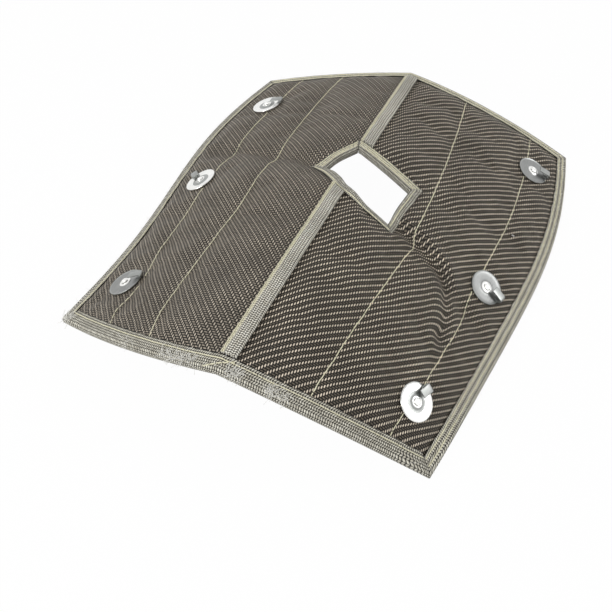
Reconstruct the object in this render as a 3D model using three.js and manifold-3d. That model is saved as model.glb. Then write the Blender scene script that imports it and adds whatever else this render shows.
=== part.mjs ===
// Turbo heat blanket: two quilted panels joined along a ridge seam, bound all round, with a bound cutout
// for the turbine flange and six hook washers for lacing wire.
// Millimetres, +Z up, +Y along the ridge towards the back, +X to the right.
// Standing arched on its two side edges, centred over the origin, with its lowest edge at z = 0.

import * as THREE from 'three';
import { mergeVertices } from 'three/addons/utils/BufferGeometryUtils.js';
import Module from 'manifold-3d';

const wasm = await Module();
wasm.setup();

// Plan of the two panels, measured from the middle of the ridge.
const RIDGE_LENGTH = 346;
const RIDGE_DRIFT_FRONT = -1.5;
const RIDGE_DRIFT_MIDDLE = -3;
const RIDGE_DRIFT_BACK = -11.5;
const LEFT_REACH_FRONT = 150;
const LEFT_REACH_BACK = 155;
const LEFT_WIDTH_FRONT = 145.5;
const LEFT_WIDTH_MIDDLE = 145.5;
const LEFT_WIDTH_BACK = 128;
const LEFT_WIDTH_WAVE = 6;
const RIGHT_REACH_FRONT = 148;
const RIGHT_REACH_BACK = 171;
const RIGHT_WIDTH_FRONT = 130.5;
const RIGHT_WIDTH_MIDDLE = 149.5;
const RIGHT_WIDTH_BACK = 144.5;
const RIGHT_WIDTH_WAVE = 3;
const FRONT_BOW = 7;

// Arch of the blanket as it stands over the housing.
const RIDGE_HEIGHT_FRONT = 67;
const RIDGE_HEIGHT_MIDDLE = 63;
const RIDGE_HEIGHT_BACK = 37.5;
const RIGHT_EDGE_LIFT = 1.5;
const LEFT_BELLY_FRONT = 6;
const LEFT_BELLY_BACK = 3;
const RIGHT_BELLY_FRONT = 16;
const RIGHT_BELLY_BACK = 6;

// Packing fold that runs out from two corners of the cutout, and the swell beside it.
const FOLD_DEPTH = 4.5;
const FOLD_RUN = 9;
const FOLD_FADE = 16;
const LEFT_FOLD_SLOPE = 0.16;
const RIGHT_FOLD_SLOPE = 0.39;
const LEFT_SWELL = 5;
const LEFT_SWELL_PLACE = -8;
const LEFT_SWELL_RUN = 28;

// Quilted padding.
const PAD_THICKNESS = 11;
const FLANGE_THICKNESS = 4;
const PUFF_RUN = 15;
const QUILT_PINCH = 3.2;
const QUILT_RUN = 7;
const LEFT_QUILT_INNER = 62.5;
const LEFT_QUILT_OUTER = 103.5;
const RIGHT_QUILT_INNER = 61.5;
const RIGHT_QUILT_OUTER = 116;

// Knitted binding tape and the folded tape over the ridge seam.
const TAPE_THICKNESS = 1.2;
const TAPE_WIDTH = 11;
const SEAM_TAPE_WIDTH = 13;
const SEAM_TAPE_LEFT_SHARE = 0.26;
const SEAM_TAPE_HEIGHT = 3;
const SEAM_GAP = 0.6;
const CLEARANCE = 0.3;

// Clear opening of the cutout, corner by corner, in plan.
const CUTOUT_BACK = [-6, 44];
const CUTOUT_LEFT = [-22, 21];
const CUTOUT_FRONT = [3.5, 2];
const CUTOUT_RIGHT_FRONT = [40, -10];
const CUTOUT_RIGHT_BACK = [42, 26];
const CORNER_REACH = 1.35;

// Stainless hook washers, with their rivets and backing washers.
const HOOK_DIAMETER = 25.4;
const HOOK_THICKNESS = 0.9;
const HOOK_DISH = 0.5;
const HOOK_RIM = 1.2;
const EYELET_DIAMETER = 9;
const EYELET_HEIGHT = 0.9;
const TAB_WIDTH = 5.4;
const TAB_LENGTH = 8.5;
const TAB_OFFSET = 2;
const TAB_GAP = 2.2;
const LEFT_HOOK_FROM_EDGE = 33;
const RIGHT_HOOK_FROM_EDGE = 30;
const SEAT_THICKNESS = 6.5;
const SEAT_MARGIN = 1.6;
const SEAT_BLEND = 10;
const SEAT_EDGE = 4.5;
const RIVET_DIAMETER = 3.2;
const RIVET_HEAD_DIAMETER = 5.2;
const RIVET_HEAD_HEIGHT = 1.1;
const BACKING_DIAMETER = 18;
const BACKING_THICKNESS = 0.8;

// How finely the cloth is divided.
const COLUMN_STEP = 16;
const ROW_STEP = 14;
const TAPE_STEP = 14;
const ROUND_SIDES = 20;

// Where each hook washer stands, as a share of half the ridge's length, and how far its tab is turned.
const HOOK_PLACES = [
  { name: 'front_right', side: 'right', share: -0.69, turn: 68 },
  { name: 'middle_right', side: 'right', share: -0.063, turn: -14 },
  { name: 'rear_right', side: 'right', share: 0.725, turn: 10 },
  { name: 'front_left', side: 'left', share: -0.67, turn: 18 },
  { name: 'middle_left', side: 'left', share: -0.03, turn: 137 },
  { name: 'rear_left', side: 'left', share: 0.615, turn: 8 },
];

const PANELS = {
  left: {
    sign: -1,
    reachFront: LEFT_REACH_FRONT,
    reachBack: LEFT_REACH_BACK,
    widths: [LEFT_WIDTH_FRONT, LEFT_WIDTH_MIDDLE, LEFT_WIDTH_BACK],
    wave: LEFT_WIDTH_WAVE,
    belly: [LEFT_BELLY_FRONT, LEFT_BELLY_BACK],
    edgeLift: 0,
    quilts: [LEFT_QUILT_INNER, LEFT_QUILT_OUTER],
    hookFromEdge: LEFT_HOOK_FROM_EDGE,
    seamFlange: SEAM_TAPE_WIDTH * SEAM_TAPE_LEFT_SHARE + 1,
    foldStart: CUTOUT_LEFT,
    foldSlope: LEFT_FOLD_SLOPE,
  },
  right: {
    sign: 1,
    reachFront: RIGHT_REACH_FRONT,
    reachBack: RIGHT_REACH_BACK,
    widths: [RIGHT_WIDTH_FRONT, RIGHT_WIDTH_MIDDLE, RIGHT_WIDTH_BACK],
    wave: RIGHT_WIDTH_WAVE,
    belly: [RIGHT_BELLY_FRONT, RIGHT_BELLY_BACK],
    edgeLift: RIGHT_EDGE_LIFT,
    quilts: [RIGHT_QUILT_INNER, RIGHT_QUILT_OUTER],
    hookFromEdge: RIGHT_HOOK_FROM_EDGE,
    seamFlange: SEAM_TAPE_WIDTH * (1 - SEAM_TAPE_LEFT_SHARE) + 1,
    foldStart: CUTOUT_RIGHT_FRONT,
    foldSlope: RIGHT_FOLD_SLOPE,
  },
};

const cloth = new THREE.MeshStandardMaterial({ color: 0x3b352d, roughness: 0.75, metalness: 0.0 });
const tapeCloth = new THREE.MeshStandardMaterial({ color: 0x8f8b80, roughness: 0.9, metalness: 0.0 });
const stainless = new THREE.MeshStandardMaterial({ color: 0xc9cac8, roughness: 0.3, metalness: 1.0 });

// Small number helpers.
const clamp01 = (value) => Math.min(1, Math.max(0, value));
const smooth = (value) => clamp01(value) ** 2 * (3 - 2 * clamp01(value));
const mix = (a, b, share) => a + (b - a) * share;
const throughThree = ([front, middle, back], t) =>
  middle + ((back - front) / 2) * t + ((front + back) / 2 - middle) * t * t;

// Marks along a line, with extra marks wherever two of them are further apart than the step.
function spread(marks, step) {
  const sorted = [...marks].sort((a, b) => a - b);
  const out = [sorted[0]];
  for (const mark of sorted.slice(1)) {
    const last = out[out.length - 1];
    const pieces = Math.max(1, Math.ceil((mark - last) / step));
    for (let k = 1; k <= pieces; k += 1) out.push(mix(last, mark, k / pieces));
  }
  return out;
}

// Shape of the cloth. "across" runs from 0 at the ridge to 1 at the side edge of a panel,
// and "along" from -1 at the front edge to 1 at the back edge.
const ridgeX = (along) => throughThree([RIDGE_DRIFT_FRONT, RIDGE_DRIFT_MIDDLE, RIDGE_DRIFT_BACK], along);
const ridgeZ = (along) => throughThree([RIDGE_HEIGHT_FRONT, RIDGE_HEIGHT_MIDDLE, RIDGE_HEIGHT_BACK], along);
const panelWidth = (panel, along) => throughThree(panel.widths, along) + panel.wave * Math.sin(Math.PI * along);

function frontY(panel, across) {
  return -mix(RIDGE_LENGTH / 2, panel.reachFront, across) - 4 * FRONT_BOW * across * (1 - across);
}

function backY(panel, across) {
  return mix(RIDGE_LENGTH / 2, panel.reachBack, across);
}

function planPoint(panel, across, along) {
  const x = ridgeX(along) + panel.sign * panelWidth(panel, along) * across;
  const y = mix(frontY(panel, across), backY(panel, across), (along + 1) / 2);
  return [x, y];
}

// Which panel a plan point lies on, and its across and along there.
function clothPlace(x, y, onPanel) {
  let along = y / (RIDGE_LENGTH / 2);
  let across = 0;
  let panel = onPanel ?? PANELS.left;
  for (let round = 0; round < 12; round += 1) {
    const fromRidge = x - ridgeX(along);
    if (!onPanel) panel = fromRidge < 0 ? PANELS.left : PANELS.right;
    across = (panel.sign * fromRidge) / panelWidth(panel, along);
    const front = frontY(panel, across);
    along = (2 * (y - front)) / (backY(panel, across) - front) - 1;
  }
  return { panel, across, along };
}

// Distances in plan from a point to the flat strips that the tapes cover.
function tapeDistances({ panel, across, along }) {
  const width = panelWidth(panel, along);
  const halfRun = (backY(panel, across) - frontY(panel, across)) / 2;
  return {
    edge: width * (1 - across) - TAPE_WIDTH,
    seam: width * across - panel.seamFlange,
    front: halfRun * (1 + along) - TAPE_WIDTH,
    back: halfRun * (1 - along) - TAPE_WIDTH,
  };
}

// Middle of the cloth without washers: the arch, its belly, the fold and the swell.
function archHeight(place) {
  const { panel, across, along } = place;
  const [x, y] = planPoint(panel, across, along);
  const lift = panel.edgeLift * (1 - along * along);
  const belly = mix(panel.belly[0], panel.belly[1], (along + 1) / 2);
  const slack = 4 * across * (1 - across);
  const distances = tapeDistances(place);
  const inside = smooth(distances.edge / FOLD_FADE) * smooth(distances.seam / FOLD_FADE);
  const foldY = panel.foldStart[1] - panel.foldSlope * (x - panel.foldStart[0]);
  const fold = FOLD_DEPTH * Math.exp(-(((y - foldY) / FOLD_RUN) ** 2)) * inside;
  const swellShare = panel === PANELS.left ? Math.exp(-(((y - LEFT_SWELL_PLACE) / LEFT_SWELL_RUN) ** 2)) : 0;
  return mix(ridgeZ(along), lift, across) + belly * slack - fold + LEFT_SWELL * swellShare * slack;
}

// Outline of the cutout, moved outwards by a distance, with its sharpest corners cut short.
const CUTOUT = [CUTOUT_BACK, CUTOUT_LEFT, CUTOUT_FRONT, CUTOUT_RIGHT_FRONT, CUTOUT_RIGHT_BACK];

function cutoutOutline(distance) {
  return CUTOUT.map((corner, k) => {
    const before = CUTOUT[(k + CUTOUT.length - 1) % CUTOUT.length];
    const after = CUTOUT[(k + 1) % CUTOUT.length];
    const normalOf = (a, b) => {
      const length = Math.hypot(b[0] - a[0], b[1] - a[1]);
      return [(b[1] - a[1]) / length, -(b[0] - a[0]) / length];
    };
    const n1 = normalOf(before, corner);
    const n2 = normalOf(corner, after);
    const square = 1 / (1 + n1[0] * n2[0] + n1[1] * n2[1]);
    const short = CORNER_REACH / Math.hypot(n1[0] + n2[0], n1[1] + n2[1]);
    const scale = distance * Math.min(square, short);
    return [corner[0] + (n1[0] + n2[0]) * scale, corner[1] + (n1[1] + n2[1]) * scale];
  });
}

const WRAP = TAPE_THICKNESS + CLEARANCE;
const cutLine = cutoutOutline(WRAP);
const cutoutFlangeLine = cutoutOutline(WRAP + TAPE_WIDTH);

// Distance from a plan point to the strip that the cutout's tape covers.
function cutoutDistance(x, y) {
  let distance = -Infinity;
  cutoutFlangeLine.forEach((a, k) => {
    const b = cutoutFlangeLine[(k + 1) % cutoutFlangeLine.length];
    const length = Math.hypot(b[0] - a[0], b[1] - a[1]);
    distance = Math.max(distance, ((x - a[0]) * (b[1] - a[1]) - (y - a[1]) * (b[0] - a[0])) / length);
  });
  return distance;
}

// Hook washer seats: a flat patch of the cloth, square to its own normal.
function makeSeat({ name, side, share, turn }) {
  const panel = PANELS[side];
  const y = (share * RIDGE_LENGTH) / 2;
  let x = panel.sign * panel.widths[1];
  for (let round = 0; round < 6; round += 1) {
    const { along } = clothPlace(x, y, panel);
    x = ridgeX(along) + panel.sign * (panelWidth(panel, along) - panel.hookFromEdge);
  }
  const heightAt = (px, py) => archHeight(clothPlace(px, py, panel));
  const reach = HOOK_DIAMETER / 2;
  const slopeX = (heightAt(x + reach, y) - heightAt(x - reach, y)) / (2 * reach);
  const slopeY = (heightAt(x, y + reach) - heightAt(x, y - reach)) / (2 * reach);
  const z = heightAt(x, y);
  const normal = new THREE.Vector3(-slopeX, -slopeY, 1).normalize();
  return { name, panel, x, y, z, slopeX, slopeY, normal, turn };
}

const seats = HOOK_PLACES.map(makeSeat);
const SEAT_HALF = HOOK_DIAMETER / 2 + SEAT_MARGIN;

function seatShare(seat, x, y) {
  const out = Math.max(Math.abs(x - seat.x), Math.abs(y - seat.y)) - SEAT_HALF;
  return 1 - smooth(out / SEAT_BLEND);
}

// Middle height and thickness of the padding at a place on the cloth.
function padding(place) {
  const { panel, across, along } = place;
  const [x, y] = planPoint(panel, across, along);
  const distances = tapeDistances(place);
  const toTape = Math.min(distances.edge, distances.seam, distances.front, distances.back);
  const all = [...Object.values(distances), cutoutDistance(x, y)];
  const puff = all.reduce((share, d) => share * Math.sqrt(1 - (1 - clamp01(d / PUFF_RUN)) ** 2), 1);
  const stitched = panel.quilts.reduce((sum, quilt) => {
    const out = across * panel.widths[1] - quilt;
    return sum + Math.exp(-((out / QUILT_RUN) ** 2));
  }, 0);
  let middle = archHeight(place);
  let thickness = FLANGE_THICKNESS + (PAD_THICKNESS - QUILT_PINCH * stitched - FLANGE_THICKNESS) * puff;
  for (const seat of seats) {
    const share = seat.panel === panel ? seatShare(seat, x, y) * smooth(toTape / SEAT_EDGE) : 0;
    const plane = seat.z + seat.slopeX * (x - seat.x) + seat.slopeY * (y - seat.y);
    middle = mix(middle, plane, share);
    thickness = mix(thickness, SEAT_THICKNESS, share);
  }
  return { x, y, middle, thickness };
}

const middleAt = (x, y) => padding(clothPlace(x, y)).middle;

// Closed geometry from points and triangles, turned so that its faces point out.
function closedGeometry(points, triangles) {
  let volume = 0;
  for (const [a, b, c] of triangles) {
    volume += points[a].dot(new THREE.Vector3().crossVectors(points[b], points[c]));
  }
  const index = triangles.flatMap(([a, b, c]) => (volume > 0 ? [a, b, c] : [a, c, b]));
  const geometry = new THREE.BufferGeometry();
  geometry.setAttribute('position', new THREE.Float32BufferAttribute(points.flatMap((p) => p.toArray()), 3));
  geometry.setIndex(index);
  return geometry;
}

// Loft through sections that all have the same number of points.
function loft(sections, flatSection, closed) {
  const count = sections[0].length;
  const points = sections.flat();
  const triangles = [];
  const spans = closed ? sections.length : sections.length - 1;
  for (let s = 0; s < spans; s += 1) {
    const next = (s + 1) % sections.length;
    for (let k = 0; k < count; k += 1) {
      const [a, b] = [s * count + k, s * count + ((k + 1) % count)];
      const [c, d] = [next * count + k, next * count + ((k + 1) % count)];
      triangles.push([a, b, d], [a, d, c]);
    }
  }
  if (!closed) {
    const last = (sections.length - 1) * count;
    for (const [a, b, c] of THREE.ShapeUtils.triangulateShape(flatSection, [])) {
      const flip = THREE.ShapeUtils.isClockWise(flatSection);
      triangles.push(flip ? [a, b, c] : [a, c, b]);
      triangles.push(flip ? [last + a, last + c, last + b] : [last + a, last + b, last + c]);
    }
  }
  return closedGeometry(points, triangles);
}

// Joins and cuts.
function toSolid(geometry) {
  const bare = geometry.clone();
  bare.deleteAttribute('normal');
  bare.deleteAttribute('uv');
  const merged = mergeVertices(bare, 1e-4);
  return new wasm.Manifold(new wasm.Mesh({
    numProp: 3,
    vertProperties: new Float32Array(merged.attributes.position.array),
    triVerts: new Uint32Array(merged.index.array),
  }));
}

function toGeometry(solid) {
  const mesh = solid.getMesh();
  const geometry = new THREE.BufferGeometry();
  geometry.setAttribute('position', new THREE.Float32BufferAttribute(mesh.vertProperties, 3));
  geometry.setIndex([...mesh.triVerts]);
  return geometry;
}

const PRISM_TOP = 400;

function prism(outline) {
  const shape = new THREE.Shape(outline.map(([x, y]) => new THREE.Vector2(x, y)));
  const geometry = new THREE.ExtrudeGeometry(shape, { depth: 2 * PRISM_TOP, bevelEnabled: false });
  return toSolid(geometry.translate(0, 0, -PRISM_TOP));
}

// Local frame of a seat: z out along its normal, x level across the blanket before the turn.
function seatMatrix(seat, lift) {
  const across = new THREE.Vector3(1, 0, seat.slopeX).normalize();
  const alongRidge = new THREE.Vector3().crossVectors(seat.normal, across).normalize();
  const squared = new THREE.Vector3().crossVectors(alongRidge, seat.normal);
  const origin = new THREE.Vector3(seat.x, seat.y, seat.z).addScaledVector(seat.normal, lift);
  return new THREE.Matrix4().makeBasis(squared, alongRidge, seat.normal).setPosition(origin);
}

const seatHalf = (seat) => (SEAT_THICKNESS / 2) * seat.normal.z;

// Quilted panels.
function panelMarks(panel) {
  const width = panel.widths[1];
  const seat = width - panel.hookFromEdge;
  const quilts = panel.quilts.flatMap((quilt) => [quilt - QUILT_RUN, quilt, quilt + QUILT_RUN]);
  const seatMarks = [seat - SEAT_HALF - SEAT_BLEND, seat - SEAT_HALF, seat, seat + SEAT_HALF];
  const columns = [0, panel.seamFlange, width - TAPE_WIDTH, width, ...quilts, ...seatMarks];
  const rows = [-1, 1];
  const halfRun = (panel.reachFront + panel.reachBack) / 2;
  for (const mark of seats.filter((s) => s.panel === panel)) {
    const { along } = clothPlace(mark.x, mark.y, panel);
    for (const step of [-SEAT_HALF - SEAT_BLEND, -SEAT_HALF, 0, SEAT_HALF, SEAT_HALF + SEAT_BLEND]) {
      rows.push(along + step / halfRun);
    }
  }
  const inner = TAPE_WIDTH / halfRun;
  return {
    columns: spread(thin(columns, 3.5), COLUMN_STEP).map((mark) => mark / width),
    rows: spread(thin([...rows, -1 + inner, 1 - inner], 3.5 / halfRun), ROW_STEP / halfRun),
  };
}

// Drops marks that crowd the one before them, always keeping the two end marks.
function thin(marks, least) {
  const sorted = [...marks].sort((a, b) => a - b);
  const kept = sorted.filter((mark, k) => k === 0 || k === sorted.length - 1 || mark - sorted[k - 1] > least);
  return kept;
}

function panelSlab(panel) {
  const { columns, rows } = panelMarks(panel);
  const halfRun = (panel.reachFront + panel.reachBack) / 2;
  const points = [];
  const at = (i, j, layer) => (j * columns.length + i) * 2 + layer;
  for (const row of rows) {
    for (const column of columns) {
      const width = panelWidth(panel, row);
      const middleWidth = panel.widths[1];
      const flangeShare = smooth((column * middleWidth - (middleWidth - 3 * TAPE_WIDTH)) / (2 * TAPE_WIDTH));
      const seamShare = 1 - smooth((column * middleWidth - panel.seamFlange) / (2 * TAPE_WIDTH));
      const edgeAcross = 1 - ((1 - column) * middleWidth) / width;
      const seamAcross = (column * middleWidth) / width;
      let across = mix(mix(column, edgeAcross, flangeShare), seamAcross, seamShare);
      if (column === 0) across = SEAM_GAP / 2 / width;
      const trueHalf = (backY(panel, across) - frontY(panel, across)) / 2;
      const endShare = smooth((Math.abs(row) - (1 - (3 * TAPE_WIDTH) / halfRun)) / ((2 * TAPE_WIDTH) / halfRun));
      const endRow = Math.sign(row) * (1 - ((1 - Math.abs(row)) * halfRun) / trueHalf);
      const along = mix(row, endRow, endShare);
      const { x, y, middle, thickness } = padding({ panel, across, along });
      points.push(new THREE.Vector3(x, y, middle - thickness / 2));
      points.push(new THREE.Vector3(x, y, middle + thickness / 2));
    }
  }
  const triangles = [];
  const quad = (a, b, c, d) => triangles.push([a, b, c], [a, c, d]);
  const [lastColumn, lastRow] = [columns.length - 1, rows.length - 1];
  for (let j = 0; j < lastRow; j += 1) {
    for (let i = 0; i < lastColumn; i += 1) {
      quad(at(i, j, 1), at(i + 1, j, 1), at(i + 1, j + 1, 1), at(i, j + 1, 1));
      quad(at(i, j, 0), at(i, j + 1, 0), at(i + 1, j + 1, 0), at(i + 1, j, 0));
    }
    quad(at(0, j, 0), at(0, j, 1), at(0, j + 1, 1), at(0, j + 1, 0));
    quad(at(lastColumn, j, 0), at(lastColumn, j + 1, 0), at(lastColumn, j + 1, 1), at(lastColumn, j, 1));
  }
  for (let i = 0; i < lastColumn; i += 1) {
    quad(at(i, 0, 0), at(i + 1, 0, 0), at(i + 1, 0, 1), at(i, 0, 1));
    quad(at(i, lastRow, 0), at(i, lastRow, 1), at(i + 1, lastRow, 1), at(i + 1, lastRow, 0));
  }
  return closedGeometry(points, triangles);
}

// Stations round the cutout: pairs of plan points on two outlines, corner to corner.
function cutoutStations(inner, outer, from, to) {
  const stations = [];
  for (let k = from; k < to; k += 1) {
    const [a, b] = [k % inner.length, (k + 1) % inner.length];
    const length = Math.hypot(inner[b][0] - inner[a][0], inner[b][1] - inner[a][1]);
    const pieces = Math.ceil(length / (TAPE_STEP / 2));
    for (let s = k === from ? 0 : 1; s <= pieces; s += 1) {
      const between = (line) => [0, 1].map((axis) => mix(line[a][axis], line[b][axis], s / pieces));
      stations.push([between(inner), between(outer)]);
    }
  }
  return stations;
}

// Flat flange round the cutout, which the cutout's tape grips.
function cutoutFlange() {
  const stations = cutoutStations(cutLine, cutoutFlangeLine, 0, CUTOUT.length).slice(0, -1);
  const half = FLANGE_THICKNESS / 2;
  const sections = stations.map(([edge, inner]) => {
    const a = new THREE.Vector3(...edge, middleAt(...edge));
    const b = new THREE.Vector3(...inner, middleAt(...inner));
    const c = b.clone().lerp(a, -1 / TAPE_WIDTH);
    const over = [a, b, c].map((point) => point.clone().setZ(point.z + half));
    const under = [c, b, a].map((point) => point.clone().setZ(point.z - half));
    return [...over, ...under];
  });
  return loft(sections, null, true);
}

// Everything on one panel's side of the ridge line.
function panelSide(panel) {
  const far = panel.sign * 2 * panel.widths[1];
  const line = spread([-1.3, 1.3], 0.1).map((along) => {
    return [ridgeX(along) + (panel.sign * SEAM_GAP) / 2, (along * RIDGE_LENGTH) / 2];
  });
  return prism([...line, [far, line[line.length - 1][1]], [far, line[0][1]]]);
}

function rivetBore(seat) {
  const reach = 4 * SEAT_THICKNESS;
  const bore = new THREE.CylinderGeometry(RIVET_DIAMETER / 2 + CLEARANCE, RIVET_DIAMETER / 2 + CLEARANCE, reach, 12);
  return toSolid(bore.rotateX(Math.PI / 2).applyMatrix4(seatMatrix(seat, 0)));
}

function quiltedPanel(panel) {
  let solid = toSolid(panelSlab(panel)).subtract(prism(cutoutFlangeLine));
  solid = solid.add(toSolid(cutoutFlange()).intersect(panelSide(panel)));
  for (const seat of seats.filter((s) => s.panel === panel)) solid = solid.subtract(rivetBore(seat));
  return toGeometry(solid);
}

// Binding tape: a folded strip gripping the flange, round at the fold.
const TAPE_HALF = FLANGE_THICKNESS / 2 + CLEARANCE + TAPE_THICKNESS;

function tapeSection() {
  const grip = FLANGE_THICKNESS / 2 + CLEARANCE;
  const run = TAPE_WIDTH - CLEARANCE;
  const fold = [0.3, 0.5, 0.7].map((turn) => turn * Math.PI);
  const rounded = fold.map((angle) => [WRAP * Math.sin(angle), TAPE_HALF * Math.cos(angle)]);
  return [
    [-run, TAPE_HALF], [0, TAPE_HALF], ...rounded, [0, -TAPE_HALF], [-run, -TAPE_HALF],
    [-run, -grip], [CLEARANCE, -grip], [CLEARANCE, grip], [-run, grip],
  ];
}

// Each station gives the cut edge of the cloth and the inner edge of the tape, in space.
function bindingTape(stations) {
  const section = tapeSection();
  const run = TAPE_WIDTH;
  const sections = stations.map(([edge, inner]) => {
    const outward = new THREE.Vector3().subVectors(edge, inner).divideScalar(run);
    return section.map(([out, up]) => {
      const point = edge.clone().addScaledVector(outward, out);
      return point.add(new THREE.Vector3(0, 0, up));
    });
  });
  const flat = section.map(([out, up]) => new THREE.Vector2(out, up));
  return loft(sections, flat, false);
}

function clothPoint(panel, across, along) {
  const { x, y, middle } = padding({ panel, across, along });
  return new THREE.Vector3(x, y, middle);
}

// Moves the first and last stations in along the strip, to leave the mitre gap.
function mitreEnds(stations, gap) {
  for (const [end, next] of [[0, 1], [stations.length - 1, stations.length - 2]]) {
    const step = stations[next][0].clone().sub(stations[end][0]);
    step.setLength(gap);
    stations[end] = stations[end].map((point) => point.clone().add(step));
  }
  return stations;
}

function endStation(panel, across, end) {
  const halfRun = (backY(panel, across) - frontY(panel, across)) / 2;
  const edgeShare = smooth((across - 0.8) / 0.2);
  const width = panelWidth(panel, end);
  const innerAcross = across - (edgeShare * TAPE_WIDTH) / width;
  const inner = clothPoint(panel, innerAcross, end * (1 - TAPE_WIDTH / halfRun));
  return [clothPoint(panel, across, end), inner];
}

function endBinding(end) {
  const shares = (panel) => spread([0, panel.widths[1]], TAPE_STEP).map((mark) => mark / panel.widths[1]);
  const left = shares(PANELS.left).reverse().map((across) => endStation(PANELS.left, across, end));
  const right = shares(PANELS.right).slice(1).map((across) => endStation(PANELS.right, across, end));
  return bindingTape(mitreEnds([...left, ...right], CLEARANCE));
}

function sideBinding(panel) {
  const rows = spread([-1, 1], TAPE_STEP / panel.reachFront);
  const stations = rows.map((along) => {
    const halfRun = (panel.reachFront + panel.reachBack) / 2;
    const cornerShare = smooth((Math.abs(along) - 0.8) / 0.2);
    const innerAlong = along - (Math.sign(along) * cornerShare * TAPE_WIDTH) / halfRun;
    const innerAcross = 1 - TAPE_WIDTH / panelWidth(panel, along);
    return [clothPoint(panel, 1, along), clothPoint(panel, innerAcross, innerAlong)];
  });
  return bindingTape(mitreEnds(stations, CLEARANCE));
}

function cutoutBinding(from, to) {
  const stations = cutoutStations(cutLine, cutoutFlangeLine, from, to).map(([edge, inner]) => {
    return [edge, inner].map(([x, y]) => new THREE.Vector3(x, y, middleAt(x, y)));
  });
  return bindingTape(mitreEnds(stations, CLEARANCE));
}

// Folded tape lying over the ridge seam, sewn down on its left and turned to the right.
function seamTape(fromY, toY) {
  const left = -SEAM_TAPE_WIDTH * SEAM_TAPE_LEFT_SHARE;
  const right = SEAM_TAPE_WIDTH + left;
  const top = FLANGE_THICKNESS / 2 + CLEARANCE;
  const low = top + SEAM_TAPE_HEIGHT * 0.45;
  const high = top + SEAM_TAPE_HEIGHT;
  const section = [
    [left, top], [0, top], [right - 1, top], [right, top + SEAM_TAPE_HEIGHT * 0.4],
    [right - 1, high], [1, high], [left + 1, low + 0.6], [left, low],
  ];
  const sections = spread([fromY, toY], TAPE_STEP).map((y) => {
    const { along } = clothPlace(ridgeX(y / (RIDGE_LENGTH / 2)), y);
    const x = ridgeX(along);
    return section.map(([out, up]) => new THREE.Vector3(x + out, y, middleAt(x + out, y) + up));
  });
  const tape = loft(sections, section.map(([out, up]) => new THREE.Vector2(out, up)), false);
  return toGeometry(toSolid(tape).subtract(prism(cutoutOutline(WRAP + TAPE_WIDTH + CLEARANCE))));
}

// Hook washer: a flat disc with an upturned rim, a raised eyelet and a tab folded back over it from the rim.
function hookDisc() {
  const bore = RIVET_DIAMETER / 2 + CLEARANCE;
  const rim = HOOK_DIAMETER / 2;
  const eyelet = EYELET_DIAMETER / 2;
  const upper = [
    [bore, EYELET_HEIGHT * 0.4], [bore + 0.8, EYELET_HEIGHT], [eyelet - 1, EYELET_HEIGHT * 0.8],
    [eyelet + 0.4, 0], [rim - HOOK_RIM, 0], [rim, HOOK_DISH],
  ];
  const outline = [
    ...upper.map(([r, z]) => new THREE.Vector2(r, z + HOOK_THICKNESS)),
    new THREE.Vector2(rim, HOOK_DISH),
    new THREE.Vector2(rim - HOOK_RIM, 0),
    new THREE.Vector2(bore, 0),
  ];
  outline.push(outline[0].clone());
  return new THREE.LatheGeometry(outline.reverse(), ROUND_SIDES).rotateX(Math.PI / 2);
}

function hookTab() {
  const rim = HOOK_DIAMETER / 2;
  const level = HOOK_DISH;
  const bend = TAB_GAP / 2;
  const reach = rim - 0.2;
  const side = new THREE.Shape();
  side.moveTo(rim - 3, level);
  side.lineTo(reach, level);
  side.absarc(reach, level + HOOK_THICKNESS + bend, bend + HOOK_THICKNESS, -Math.PI / 2, Math.PI / 2, false);
  side.lineTo(rim - TAB_LENGTH, level + 2 * HOOK_THICKNESS + TAB_GAP);
  side.lineTo(rim - TAB_LENGTH, level + HOOK_THICKNESS + TAB_GAP);
  side.lineTo(reach, level + HOOK_THICKNESS + TAB_GAP);
  side.absarc(reach, level + HOOK_THICKNESS + bend, bend, Math.PI / 2, -Math.PI / 2, true);
  side.lineTo(rim - 3, level + HOOK_THICKNESS);
  const tab = new THREE.ExtrudeGeometry(side, { depth: TAB_WIDTH, bevelEnabled: false, curveSegments: 6 });
  return tab.translate(0, 0, -TAB_WIDTH / 2 + TAB_OFFSET).rotateX(Math.PI / 2);
}

function rivetProfile(seat) {
  const shank = RIVET_DIAMETER / 2;
  const head = RIVET_HEAD_DIAMETER / 2;
  const top = seatHalf(seat) + CLEARANCE + HOOK_THICKNESS + EYELET_HEIGHT + CLEARANCE;
  const bottom = -seatHalf(seat) - 2 * CLEARANCE - BACKING_THICKNESS;
  const outline = [
    [0, bottom - RIVET_HEAD_HEIGHT * 0.7], [head * 0.8, bottom - RIVET_HEAD_HEIGHT * 0.7], [head, bottom],
    [shank, bottom], [shank, top], [head, top], [head * 0.7, top + RIVET_HEAD_HEIGHT * 0.8],
    [0, top + RIVET_HEAD_HEIGHT],
  ];
  return outline.map(([r, z]) => new THREE.Vector2(r, z));
}

function ringOf(outer, bore, thickness) {
  const outline = [[bore, 0], [outer, 0], [outer, thickness], [bore, thickness], [bore, 0]];
  const points = outline.map(([r, z]) => new THREE.Vector2(r, z));
  return new THREE.LatheGeometry(points, ROUND_SIDES).rotateX(Math.PI / 2);
}

// Assembly.
const blanket = new THREE.Group();

function addPiece(name, geometry, material, matrix) {
  const mesh = new THREE.Mesh(geometry, material);
  mesh.name = name;
  if (matrix) matrix.decompose(mesh.position, mesh.quaternion, mesh.scale);
  blanket.add(mesh);
}

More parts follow.
